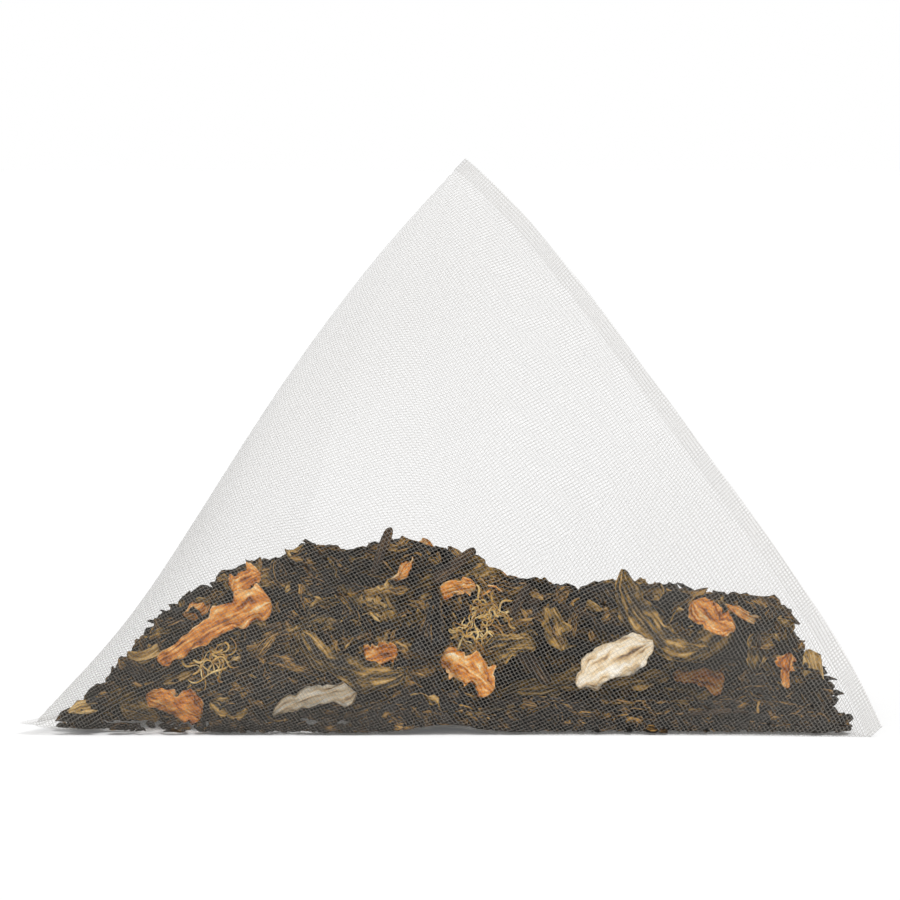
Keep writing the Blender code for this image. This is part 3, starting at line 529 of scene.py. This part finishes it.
# Leaf stalk, dried: brown, woody and smooth
STEM_STOPS = (
    (0.05, "#16100B"), (0.35, "#2E2117"), (0.62, "#54402C"),
    (0.85, "#86663F"), (1.0, "#A98855"),
)
tan_stem = dried_leaf_material("dry_leaf_stalk", STEM_STOPS, "#8E6E44", 0.1, 0.55)
# Flower petals, dried orange: thin, paler on their ridges and at their torn edges
ORANGE_STOPS = (
    (0.08, "#4A2409"), (0.3, "#9C5518"), (0.48, "#D68530"),
    (0.62, "#E9A24E"), (0.78, "#F3C98A"), (1.0, "#FCEBCB"),
)
orange_petal = dried_leaf_material("dried_orange_petal", ORANGE_STOPS, "#F8DDB0", 0.6, 0.6, 1.7, 1.3)
# Flower petals, dried cream: pale, with a few grey-brown stripes along them
CREAM_STOPS = (
    (0.0, "#3E3328"), (0.24, "#7A6247"), (0.36, "#C9A87C"),
    (0.52, "#EBD3AC"), (0.8, "#FAEFDB"), (1.0, "#FFFAF0"),
)
cream_petal = dried_leaf_material("dried_cream_petal", CREAM_STOPS, "#F6E7C9", 0.8, 0.6, 1.9, 0.5)
# Stamens, dried: fine golden threads
GOLD_STOPS = (
    (0.0, "#5A3A12"), (0.3, "#9A6C28"),
    (0.6, "#CFA456"), (1.0, "#F6DC9C"),
)
gold_fibre = dried_leaf_material("dry_flower_fibre", GOLD_STOPS, "#E0B870", 0.5, 0.6)

# Each kind is: material, thickness, taper, ragged, crinkle, tone. A tone is a place in its stops.
KINDS = {
    "dark_leaf": (dark_leaf, 0.24, 3.0, 0.15, 0.75, 0.42),
    "olive_leaf": (olive_leaf, 0.22, 3.2, 0.13, 0.65, 0.52),
    "orange_petal": (orange_petal, 0.10, 5.0, 0.24, 0.8, 0.5),
    "cream_petal": (cream_petal, 0.08, 1.7, 0.2, 0.6, 0.56),
    "tan_stem": (tan_stem, 0.5, 7.0, 0.06, 0.12, 0.42),
}

# Each is: node, kind, length, width, then in degrees its slope, bend, curl and twist.
FRONT_PIECES = (
    ("orange_petal_1", "orange_petal", 9.0, 1.7, 26, 14, 60, 30),
    ("orange_petal_2", "orange_petal", 2.4, 1.5, 35, 20, 70, 0),
    ("orange_petal_3", "orange_petal", 4.3, 1.5, -23, 20, 60, 20),
    ("olive_leaf_1", "olive_leaf", 3.0, 1.2, -18, 10, 60, 0),
    ("olive_leaf_2", "olive_leaf", 8.6, 1.9, -22, -80, 70, 40),
    ("cream_petal_1", "cream_petal", 6.4, 2.3, 18, 10, 170, 50),
    ("orange_petal_4", "orange_petal", 2.4, 1.5, 10, 10, 40, 0),
    ("dark_leaf_1", "dark_leaf", 4.6, 1.7, 82, 20, 90, 30),
    ("cream_petal_2", "orange_petal", 4.4, 2.1, -31, 30, 70, 20),
    ("orange_petal_5", "orange_petal", 2.6, 1.0, 10, 20, 60, 0),
    ("olive_leaf_3", "olive_leaf", 3.8, 1.7, 4, 10, 40, 10),
    ("stem_1", "tan_stem", 4.2, 1.0, -45, 20, 0, 0),
    ("cream_petal_3", "cream_petal", 6.3, 2.8, 28, 30, 150, 60),
    ("olive_leaf_4", "olive_leaf", 12.6, 1.5, 5, 10, 90, 60),
    ("olive_leaf_5", "olive_leaf", 9.4, 1.9, -42, -100, 80, 40),
    ("orange_petal_6", "orange_petal", 3.6, 1.6, -30, -50, 70, 0),
    ("olive_leaf_6", "olive_leaf", 3.2, 2.6, 30, 0, 230, 0),
    ("dark_leaf_2", "dark_leaf", 3.8, 1.5, -8, 10, 70, 0),
    ("orange_petal_7", "orange_petal", 3.8, 1.2, -10, 10, 60, 0),
    ("orange_petal_8", "orange_petal", 2.4, 0.9, 80, 20, 40, 0),
    ("dark_leaf_3", "dark_leaf", 5.8, 3.0, 62, 10, 50, 10),
    ("dark_leaf_4", "dark_leaf", 6.6, 2.8, -12, 10, 60, 10),
    ("stem_2", "tan_stem", 3.4, 0.7, 68, 8, 0, 0),
    ("stem_3", "tan_stem", 3.8, 0.9, 36, 6, 0, 0),
    ("stem_4", "tan_stem", 2.6, 0.6, 55, 0, 0, 0),
    ("dark_leaf_5", "dark_leaf", 6.0, 2.2, 48, 20, 110, 80),
    ("dark_leaf_6", "dark_leaf", 5.0, 2.0, 20, 10, 100, 60),
    ("dark_leaf_7", "dark_leaf", 6.6, 2.1, 62, 20, 110, 110),
    ("dark_leaf_8", "dark_leaf", 6.0, 2.0, 18, -20, 110, 90),
    ("dark_leaf_9", "dark_leaf", 6.4, 2.1, -14, 24, 110, 90),
    ("dark_leaf_10", "dark_leaf", 6.4, 2.2, -28, 20, 110, 100),
    ("dark_leaf_11", "dark_leaf", 6.0, 2.0, 8, 14, 110, 60),
    ("dark_leaf_12", "dark_leaf", 6.8, 2.1, -8, 10, 110, 90),
    ("dark_leaf_13", "dark_leaf", 7.2, 2.0, 6, 10, 110, 90),
    ("dark_leaf_14", "dark_leaf", 6.2, 2.2, 30, 20, 110, 90),
    ("dark_leaf_15", "dark_leaf", 7.0, 2.1, -6, 12, 110, 80),
    ("dark_leaf_16", "dark_leaf", 5.0, 2.0, -60, 20, 110, 80),
    ("dark_leaf_17", "dark_leaf", 4.8, 2.0, -8, 20, 110, 60),
)
REAR_PIECES = (
    ("cream_petal_4", "cream_petal", 6.4, 2.4, 24, 20, 70, 20),
    ("orange_petal_9", "orange_petal", 6.0, 1.8, -30, 20, 60, 20),
    ("olive_leaf_7", "olive_leaf", 9.0, 2.2, 8, 30, 80, 50),
    ("orange_petal_10", "orange_petal", 3.8, 1.7, 48, 10, 60, 0),
    ("olive_leaf_8", "olive_leaf", 7.0, 2.0, -14, 40, 80, 40),
    ("dark_leaf_18", "dark_leaf", 7.0, 2.2, 3, 10, 110, 90),
    ("dark_leaf_19", "dark_leaf", 6.6, 2.2, -34, 20, 110, 90),
    ("dark_leaf_20", "dark_leaf", 6.4, 2.2, 24, 20, 110, 90),
    ("dark_leaf_21", "dark_leaf", 7.4, 2.2, -6, 14, 110, 90),
    ("dark_leaf_22", "dark_leaf", 7.0, 2.2, 10, 14, 110, 90),
    ("dark_leaf_23", "dark_leaf", 5.4, 2.0, 40, 14, 110, 70),
    ("dark_leaf_24", "dark_leaf", 5.6, 2.0, -38, 14, 110, 70),
    ("dark_leaf_25", "dark_leaf", 6.0, 2.0, 6, 14, 110, 70),
    ("olive_leaf_9", "olive_leaf", 6.4, 2.2, -44, 20, 90, 50),
    ("dark_leaf_26", "dark_leaf", 6.2, 2.2, 60, 20, 110, 90),
    ("dark_leaf_27", "dark_leaf", 5.4, 2.0, -4, 8, 110, 70),
    ("dark_leaf_28", "dark_leaf", 6.6, 2.2, 12, 20, 110, 90),
)

# Three at the rear have sunk into the heap a little, by so many millimetres.
SUNK = {"dark_leaf_18": 1.9, "dark_leaf_27": 2.0, "dark_leaf_20": 0.8}

large_points = {}
for number, (name, kind, length, width, slope, bend, curl, twist) in enumerate(FRONT_PIECES + REAR_PIECES):
    material, thickness, taper, ragged, crinkle, tone = KINDS[kind]
    rng = np.random.default_rng(100 + number)
    shape = dict(
        length=length, width=width, thickness=thickness, bend=bend, curl=curl, twist=twist, taper=taper,
        ragged=ragged, crinkle=crinkle, skew=0.35 * math.cos(number * 2.4), turn=math.sin(number) / 3,
    )
    points, flat = leaf_solids(shape, LEAF_ROWS, LEAF_AROUND, rng)
    points = settled_on(turned_by(points, math.radians(slope)), name)
    points[..., 2] -= SUNK.get(name, 0)
    large_points[name] = points.reshape(-1, 3)
    faces = ring_faces(1, LEAF_ROWS, LEAF_AROUND)
    flat[..., 0] += 31.0 * number  # so that no two have the same streaks
    tones = np.full(points.shape[:3], tone + rng.uniform(-0.05, 0.05))
    flat = flat.reshape(-1, 2)[faces.ravel()]
    piece = add_piece(name + "_dry", points.reshape(-1, 3), faces, material, flat, tones)
    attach(piece, "root")
    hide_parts(name)


# The golden fibres are dried stamens, pulled into loose curls that catch between the leaves.
STRAND_ROWS = 36
STRAND_AROUND = 6
STRAND_LONGEST = 3.6
STRAND_THICKNESS = 0.065
TUFT_DEPTH = 0.3


def curled_strands(count, spread, rng):
    """Thin closed tubes along curling paths: each path's heading turns by a slow swing, and the
    tube's ring is carried square to the path."""
    share = np.linspace(0, 1, STRAND_ROWS)
    length = rng.uniform(0.4, 1.0, (count, 1)) * STRAND_LONGEST
    heading = rng.uniform(0, 2 * math.pi, (count, 1)) + rng.uniform(-2.6, 2.6, (count, 1)) * share
    heading = heading + 0.8 * np.sin(share * rng.uniform(4, 14, (count, 1)) + rng.uniform(0, 6, (count, 1)))
    dive = 0.5 * np.sin(share * rng.uniform(3, 8, (count, 1)) + rng.uniform(0, 6, (count, 1)))
    step = np.stack([np.cos(heading), dive, np.sin(heading)], axis=-1) * (length / STRAND_ROWS)[..., None]
    path = np.cumsum(step, axis=1)
    path = path - path.mean(axis=1, keepdims=True) + rng.uniform(-1, 1, (count, 1, 3)) * spread
    ahead = unit(np.gradient(path, axis=1))
    sideways = unit(np.cross(ahead, np.array([0.0, 1.0, 0.05])))
    over = np.cross(sideways, ahead)
    angle = np.linspace(0, 2 * math.pi, STRAND_AROUND, endpoint=False)[:, None]
    girth = (STRAND_THICKNESS * (1 - 0.7 * share**3) * (1 + 0.3 * np.sin(9 * share)))[None, :, None, None]
    ring = np.cos(angle) * sideways[:, :, None] + np.sin(angle) * over[:, :, None]
    return path[:, :, None] + ring * girth


# Each is: node, count of strands, length, width, slope in degrees.
TUFTS = (
    ("gold_fibre_1", 16, 3.8, 1.7, 20),
    ("gold_fibre_2", 34, 4.5, 2.2, 50),
    ("gold_fibre_3", 24, 4.4, 2.0, 30),
)

for number, (name, count, length, width, slope) in enumerate(TUFTS):
    rng = np.random.default_rng(300 + number)
    spread = np.array([length / 2.6, TUFT_DEPTH, width / 2.2])
    tubes = turned_by(curled_strands(count, spread, rng), math.radians(slope))
    tubes = settled_on(tubes, name)
    large_points[name] = tubes.reshape(-1, 3)
    faces = ring_faces(count, STRAND_ROWS, STRAND_AROUND)
    flat = np.zeros((*tubes.shape[:3], 2))
    flat[..., 0] = np.arange(STRAND_ROWS)[None, :, None] * 0.1 + np.arange(count)[:, None, None] * 7.0
    tones = np.broadcast_to(rng.uniform(0.35, 0.8, (count, 1, 1)), tubes.shape[:3])
    flat = flat.reshape(-1, 2)[faces.ravel()]
    piece = add_piece(name + "_dry", tubes.reshape(-1, 3), faces, gold_fibre, flat, tones)
    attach(piece, "root")
    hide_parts(name)


# The rest of the tea is smaller broken leaf, stalk and petal that fills the bag's lower third. It
# lies against the net on every side, behind the larger pieces, and heaps up left of the middle.
HEAP_LINE = (  # places from left to right, and the heap's height at each
    (-28.9, 0.3), (-25.3, 2.7), (-21.7, 7.2), (-18.1, 9.8), (-15.2, 11.3), (-12.8, 11.6), (-10.5, 12.9),
    (-7.2, 12.0), (-4.3, 13.1), (-0.7, 12.4), (1.8, 11.9), (3.6, 10.6), (6.1, 9.2), (10.1, 9.6),
    (14.4, 9.9), (19.5, 9.1), (23.8, 8.9), (26.9, 5.6), (29.7, 0.9),
)
REARWARD_FALL = 0.1
FALL_STARTS_AT = -17.0
CELL = 0.4
CELLS = 170
EMPTY = 1000.0  # a map's value where the bag has nothing
OUTSIDE = 50.0  # a place well outside the bag


def heap_top(points):
    """The height of the heap's top under or over each point: highest along the front wall, and
    falling away to the rear."""
    front_height = np.interp(points[..., 0], *zip(*HEAP_LINE))
    return front_height - REARWARD_FALL * np.maximum(points[..., 1] - FALL_STARTS_AT, 0)


def cells_of(points, axes):
    """The map cell that each point falls in, over two axes. Points may have just those two."""
    flat = points if points.shape[-1] == 2 else points[..., axes]
    place = ((flat + CELLS * CELL / 2) / CELL).astype(int)
    return tuple(np.moveaxis(np.clip(place, 0, CELLS - 1), -1, 0))


def extent_map(points, axes, up, highest):
    """For each cell over two axes, the highest or the lowest of the points on the third."""
    cells = np.full((CELLS, CELLS), -EMPTY if highest else EMPTY)
    (np.maximum if highest else np.minimum).at(cells, cells_of(points, axes), points[:, up])
    return cells


def spread_out(cells, highest):
    """Each cell takes the furthest of itself and its four neighbours."""
    around = [np.roll(cells, shift, axis) for axis in (0, 1) for shift in (-1, 1)]
    return (np.maximum if highest else np.minimum).reduce([cells, *around])


# The maps keep every small piece inside the net, and behind the larger pieces that lie against it.
NET_GAP = 0.16
PIECE_GAP = 0.05
REAR_REACH = 3.4  # a larger piece deeper than this behind the net doesn't hold small ones back

skin = net_surface(np.linspace(-0.5, 0.5, 961)[:-1], np.linspace(0.0, 1.0, 401))[0].reshape(-1, 3)
front_names = [name for name, kind, *_ in FRONT_PIECES if kind != "dark_leaf"]
front_names += ["gold_fibre_1", "gold_fibre_2", "dark_leaf_1"]
rear_names = [name for name, kind, *_ in REAR_PIECES if kind != "dark_leaf"]
front_pieces = np.concatenate([large_points[name] for name in front_names])
rear_pieces = np.concatenate([large_points[name] for name in rear_names])
FRONT_LIMIT = extent_map(skin, [0, 2], 1, False) + NET_GAP
behind_large = spread_out(extent_map(front_pieces, [0, 2], 1, True), True) + PIECE_GAP
# Crumbs may lie in front of a large piece's lowest edge, and higher up right of the middle.
MIDDLE_CELL = CELLS // 2
behind_large[:, : MIDDLE_CELL + 2] = -EMPTY
behind_large[MIDDLE_CELL + 5 :, : MIDDLE_CELL + 6] = -EMPTY
FRONT_LIMIT = np.maximum(FRONT_LIMIT, behind_large)
REAR_LIMIT = extent_map(skin, [0, 2], 1, True) - NET_GAP
before_large = spread_out(extent_map(rear_pieces, [0, 2], 1, False), False) - PIECE_GAP
near_rear = before_large > REAR_LIMIT - REAR_REACH
REAR_LIMIT = np.where(near_rear, np.minimum(REAR_LIMIT, before_large), REAR_LIMIT)
LOW_LIMIT = extent_map(skin, [0, 1], 2, False) + NET_GAP

FRONT_WAY = unit(np.array([0.0, -APEX_HEIGHT, APEX_BEHIND_FRONT]))
REAR_WAYS = unit(np.array([[-0.75, 0.55, 0.42], [0.75, 0.55, 0.42]]))
PLACES_A_PIECE = 6
HALF_ACROSS = 29.5
LOWEST = 0.2
HIGHEST = 13.2
FOOT_HEIGHT = 3.8
EDGE_HEIGHT = 0.75
EDGE_REACH = 2.5
BACK_REACH = 28.0


def places_in(zone, depths, count, rng):
    """Random places for small pieces in one zone of the heap, and the way that each faces. The
    zones are the front face, its foot and its lowest edge, the two rear faces, the top of the heap,
    its narrow back corner, and its underside. The depths are measured in from the net."""
    across = rng.uniform(-HALF_ACROSS, HALF_ACROSS, count * PLACES_A_PIECE)
    if zone == "foot":
        up = LOWEST + FOOT_HEIGHT * rng.uniform(0, 1, len(across)) ** 1.3
    else:
        up = rng.uniform(LOWEST, HIGHEST, len(across))
    middle = np.stack([across, np.full(len(across), -20.0), up], axis=1)
    middle = middle[up < heap_top(middle) - LOWEST]
    across, up = middle[:, 0], middle[:, 2]
    front = FRONT_LIMIT[cells_of(middle, [0, 2])]
    rear = REAR_LIMIT[cells_of(middle, [0, 2])]
    if zone in ("front", "foot"):
        depth = front + rng.uniform(*depths, len(across))
        ways = np.broadcast_to(FRONT_WAY, middle.shape)
    elif zone == "rear":
        depth = rear - rng.uniform(*depths, len(across))
        ways = REAR_WAYS[(across > 0).astype(int)]
    elif zone == "top":
        depth = front + (rear - front) * rng.uniform(0.02, 0.98, len(across))
        up = heap_top(np.stack([across, depth], axis=1)) - rng.uniform(*depths, len(across))
        ways = np.broadcast_to([0.0, 0.0, 1.0], middle.shape)
    elif zone == "edge":
        up = 0.15 + EDGE_HEIGHT * rng.uniform(0, 1, len(across))
        front = FRONT_LIMIT[cells_of(np.stack([across, up], axis=1), [0, 2])]
        depth = np.minimum(front, OUTSIDE) + 0.15 + EDGE_REACH * rng.uniform(0, 1, len(across)) ** 1.5
        ways = unit(np.array([0.0, -0.4, -1.0]) + rng.normal(0, 0.25, middle.shape))
    elif zone == "back":
        depth = BASE_DEPTH / 2 - BACK_REACH * np.sqrt(rng.uniform(0, 1, len(across)))
        across = across * (BASE_DEPTH / 2 - depth) / BASE_DEPTH
        place = np.stack([across, depth], axis=1)
        low = np.minimum(LOW_LIMIT[cells_of(place, [0, 1])], OUTSIDE)
        up = low + LOWEST + (heap_top(place) - low) * rng.uniform(0, 1, len(across))
        ways = unit(rng.normal(0, 1, middle.shape))
    else:
        depth = rng.uniform(-BASE_DEPTH / 2, BASE_DEPTH / 2, len(across))
        low = LOW_LIMIT[cells_of(np.stack([across, depth], axis=1), [0, 1])]
        up = low + rng.uniform(*depths, len(across))
        ways = np.broadcast_to([0.0, 0.0, -1.0], middle.shape)
    return np.stack([across, depth, up], axis=1), ways


def laid(points, places, ways, swing, tilt, rng):
    """Each body turned so that its flat side faces its way, its length at random in that plane but
    more often level, and tilted a little out of it; then put in its place."""
    count = len(places)
    level = unit(np.cross(ways, [0.05, 0.08, 1.0]))
    steep = np.cross(level, ways)
    heading = rng.normal(0, swing, (count, 1)) + math.pi * rng.integers(0, 2, (count, 1))
    run = unit(level * np.cos(heading) + steep * np.sin(heading) + ways * rng.normal(0, tilt, (count, 1)))
    out = unit(ways - run * (ways * run).sum(axis=1, keepdims=True))
    axes = np.stack([run, out, np.cross(run, out)], axis=1)
    return np.einsum("nrak,nkj->nraj", points, axes) + places[:, None, None, :]


OVER_TOP = 0.05
WORST_BEYOND = 0.5


def beyond(points):
    """How far the worst point of each body is outside the net, in front of a larger piece or above
    the heap's top."""
    front = FRONT_LIMIT[cells_of(points, [0, 2])] - points[..., 1]
    rear = points[..., 1] - REAR_LIMIT[cells_of(points, [0, 2])]
    below = LOW_LIMIT[cells_of(points, [0, 1])] - points[..., 2]
    above = points[..., 2] - heap_top(points) - OVER_TOP
    return np.maximum.reduce([front, rear, below, above]).max(axis=(1, 2))


def held_in(points):
    """The points pressed in where they are beyond the net or a larger piece."""
    front = FRONT_LIMIT[cells_of(points, [0, 2])]
    rear = REAR_LIMIT[cells_of(points, [0, 2])]
    pressed = np.clip(points[..., 1], front, np.maximum(front, rear))
    points[..., 1] = np.where(front < EMPTY, pressed, points[..., 1])
    low = LOW_LIMIT[cells_of(points, [0, 1])]
    points[..., 2] = np.where(low < EMPTY, np.maximum(points[..., 2], low), points[..., 2])
    return points


# Each is: shortest and longest, narrowest and widest as a share, thickness, most curl, twist,
# bend, taper, ragged, crinkle, tilt, nearest and furthest from the net, rows, around.
SMALL_KINDS = {
    "twisted": ((4.0, 9.0), (0.17, 0.34), 0.2, 330, 220, 30, 3.0, 0.14, 0.7, 0.16, (0.1, 1.7), 17, 10),
    "flake": ((2.8, 5.6), (0.40, 0.75), 0.16, 160, 70, 40, 3.0, 0.19, 0.8, 0.22, (0.1, 1.7), 12, 12),
    "small": ((1.8, 4.4), (0.24, 0.5), 0.2, 260, 120, 45, 3.0, 0.15, 0.35, 0.3, (0.7, 3.6), 8, 8),
    "stalk": ((2.5, 6.5), (0.07, 0.13), 0.35, 30, 60, 25, 8.0, 0.05, 0.10, 0.2, (0.1, 1.2), 12, 6),
    "crumb": ((0.6, 1.6), (0.4, 0.8), 0.3, 100, 60, 30, 3.0, 0.15, 0.30, 0.5, (0.1, 2.0), 6, 6),
}

# Each is: name, zone, kind, material, slot, count, tones.
SMALL_PIECES = (
    ("twisted_leaf_front", "front", "twisted", dark_leaf, "dark_leaf", 110, (0.15, 0.74)),
    ("leaf_flakes_front", "front", "flake", dark_leaf, "dark_leaf", 80, (0.1, 0.74)),
    ("small_leaf_front", "front", "small", dark_leaf, "dark_leaf", 260, (0.1, 0.78)),
    ("twisted_leaf_foot", "foot", "twisted", dark_leaf, "dark_leaf", 70, (0.1, 0.62)),
    ("small_leaf_foot", "foot", "small", dark_leaf, "dark_leaf", 420, (0.15, 0.6)),
    ("crumbs_foot", "foot", "crumb", dark_leaf, "dark_leaf", 700, (0.1, 0.6)),
    # The crumbs along the lowest edge are real tea, kept darker than the rest, and they also stand in for a
    # painted contact shadow: the dark line where the bag meets the table.
    ("crumbs_edge_contact_shadow", "edge", "crumb", dark_leaf, "dark_leaf", 860, (0.1, 0.5)),
    ("olive_flakes_front", "front", "flake", olive_leaf, "olive_leaf", 60, (0.36, 0.8)),
    ("olive_twisted_front", "front", "twisted", olive_leaf, "olive_leaf", 26, (0.36, 0.6)),
    ("olive_small_front", "front", "small", olive_leaf, "olive_leaf", 110, (0.4, 0.84)),
    ("stalks_front", "front", "stalk", tan_stem, "tan_stem", 30, (0.3, 0.7)),
    ("orange_bits_front", "front", "small", orange_petal, "orange_petal", 12, (0.4, 0.65)),
    ("twisted_leaf_rear", "rear", "twisted", dark_leaf, "dark_leaf", 95, (0.2, 0.58)),
    ("leaf_flakes_rear", "rear", "flake", dark_leaf, "dark_leaf", 95, (0.15, 0.6)),
    ("small_leaf_rear", "rear", "small", dark_leaf, "dark_leaf", 480, (0.15, 0.6)),
    ("olive_flakes_rear", "rear", "flake", olive_leaf, "olive_leaf", 50, (0.36, 0.66)),
    ("twisted_leaf_back", "back", "twisted", dark_leaf, "dark_leaf", 80, (0.2, 0.58)),
    ("small_leaf_back", "back", "small", dark_leaf, "dark_leaf", 520, (0.15, 0.6)),
    ("olive_flakes_back", "back", "flake", olive_leaf, "olive_leaf", 40, (0.36, 0.66)),
    ("stalks_rear", "rear", "stalk", tan_stem, "tan_stem", 30, (0.3, 0.7)),
    ("orange_bits_rear", "rear", "small", orange_petal, "orange_petal", 20, (0.4, 0.65)),
    ("twisted_leaf_top", "top", "twisted", dark_leaf, "dark_leaf", 70, (0.2, 0.58)),
    ("small_leaf_top", "top", "small", dark_leaf, "dark_leaf", 450, (0.15, 0.6)),
    ("olive_flakes_top", "top", "flake", olive_leaf, "olive_leaf", 34, (0.36, 0.66)),
    ("small_leaf_under", "under", "small", dark_leaf, "dark_leaf", 560, (0.15, 0.6)),
    ("olive_flakes_under", "under", "flake", olive_leaf, "olive_leaf", 40, (0.36, 0.66)),
    ("crumbs_front", "front", "crumb", dark_leaf, "dark_leaf", 160, (0.3, 0.75)),
)


LEVEL_SWING = 0.12
LOOSE_SWING = 0.75


def scatter(zone, kind, count, tone_range, rng):
    """The bodies of one row of small pieces, kept where they fit."""
    lengths, widths, thickness, curl, twist, bend, taper, *rest = SMALL_KINDS[kind]
    ragged, crinkle, tilt, depths, rows, around = rest
    places, ways = places_in(zone, depths, count * 4, rng)
    tries = len(places)
    length = rng.uniform(*lengths, tries)
    shape = dict(
        length=length,
        width=length * rng.uniform(*widths, tries),
        thickness=thickness,
        bend=rng.normal(0, bend, tries),
        curl=rng.uniform(curl / 4, curl, tries),
        twist=rng.normal(0, twist, tries),
        taper=rng.uniform(taper * 0.7, taper * 1.5, tries),
        ragged=ragged,
        crinkle=crinkle,
        skew=rng.uniform(-0.4, 0.4, tries),
        turn=rng.normal(0, 0.5, tries),
    )
    points, flat = leaf_solids(shape, rows, around, rng)
    swing = LEVEL_SWING if zone == "foot" else LOOSE_SWING
    points = laid(points, places, ways, swing, tilt, rng)
    fits = np.flatnonzero(beyond(points) < WORST_BEYOND)[:count]
    flat[..., 0] += rng.uniform(0, 500, (tries, 1, 1))
    tones = np.broadcast_to(rng.uniform(*tone_range, (tries, 1, 1)), points.shape[:3])
    return held_in(points[fits]), flat[fits], tones[fits], ring_faces(len(fits), rows, around)


for number, (name, zone, kind, material, slot, count, tone_range) in enumerate(SMALL_PIECES):
    rng = np.random.default_rng(500 + number)
    points, flat, tones, faces = scatter(zone, kind, count, tone_range, rng)
    flat = flat.reshape(-1, 2)[faces.ravel()]
    piece = add_piece(name, points.reshape(-1, 3), faces, material, flat, tones)
    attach(piece, "root")


# Under the loose pieces the heap is packed solid with leaf dust. Only its dark shows between them.
CORE_AROUND = 160
CORE_ROWS = 60
CORE_INSET = 7.0
CORE_DROP = 2.3
CORE_LOWEST = 0.45
CORE_BELOW_TOP = 1.4
CORE_TONE = 0.08
core_shares = np.linspace(-0.5, 0.5, CORE_AROUND + 1)[:-1]
core = net_surface(core_shares, np.linspace(0.06, 0.94, CORE_ROWS), CORE_INSET)[0]
winding = core[..., 0] * 1.3 + 2 * np.sin(core[..., 1] * 0.9)
lumps = np.sin(winding) * np.cos(core[..., 1] * 1.1 + core[..., 2])
core_top = np.maximum(heap_top(core) - CORE_BELOW_TOP + 0.5 * lumps, 1.0)
core[..., 2] = np.clip(core[..., 2] - CORE_DROP, CORE_LOWEST, core_top)
faces = ring_faces(1, CORE_ROWS, CORE_AROUND)
tones = np.full(core.shape[:2], CORE_TONE)
flat = np.stack([core[..., 0], 0.4 * np.sin(core[..., 1])], axis=-1).reshape(-1, 2)
piece = add_piece("packed_leaf_dust", core.reshape(-1, 3), faces, dark_leaf, flat[faces.ravel()], tones)
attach(piece, "root")
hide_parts("broken_leaf_bed")


# The floor is a plain white table in a white room. A wide soft light stands high up at the front
# right, and a wider, weaker one lower down at the front left. The camera sees the walls as white.
TABLE_GLOW = 0.1
WALL_LIGHT = 0.32
floor_mesh = bpy.data.meshes.new("floor")
floor_mesh.from_pydata([(-3, -2, 0), (3, -2, 0), (3, 9, 0), (-3, 9, 0)], [], [(0, 1, 2, 3)])
floor = bpy.data.objects.new("floor", floor_mesh)
bpy.context.scene.collection.objects.link(floor)
made, tree, shader = new_material("white_table")
shader.inputs["Base Color"].default_value = linear("#FCFCFC")
shader.inputs["Roughness"].default_value = 0.9
shader.inputs["Specular IOR Level"].default_value = 0.0
shader.inputs["Emission Color"].default_value = (1.0, 1.0, 1.0, 1.0)
camera_ray = node(tree, "ShaderNodeLightPath").outputs["Is Camera Ray"]
tree.links.new(maths(tree, "MULTIPLY", camera_ray, TABLE_GLOW), shader.inputs["Emission Strength"])
floor_mesh.materials.append(made)

world = bpy.data.worlds.new("studio")
bpy.context.scene.world = world
world.use_nodes = True
tree = world.node_tree
background = tree.nodes["Background"]
background.inputs["Color"].default_value = (1.0, 1.0, 1.0, 1.0)
path = node(tree, "ShaderNodeLightPath")
seen = maths(tree, "MAXIMUM", path.outputs["Is Camera Ray"], path.outputs["Is Transmission Ray"])
strength = maths(tree, "MULTIPLY_ADD", seen, 1 - WALL_LIGHT, WALL_LIGHT)
tree.links.new(strength, background.inputs["Strength"])

for name, place, softness, strength in (
    ("key", (0.40, -0.42, 1.2), 28, 1.85),
    ("fill", (-0.3, -1.0, 0.35), 60, 1.15),
):
    light = bpy.data.lights.new(name, "SUN")
    light.angle = math.radians(softness)
    light.energy = strength
    lamp = bpy.data.objects.new(name, light)
    lamp.location = place
    lamp.rotation_euler = (-Vector(place)).to_track_quat("-Z", "Y").to_euler()
    bpy.context.scene.collection.objects.link(lamp)

bpy.context.scene.view_settings.view_transform = "Standard"
bpy.context.scene.cycles.transparent_max_bounces = 32
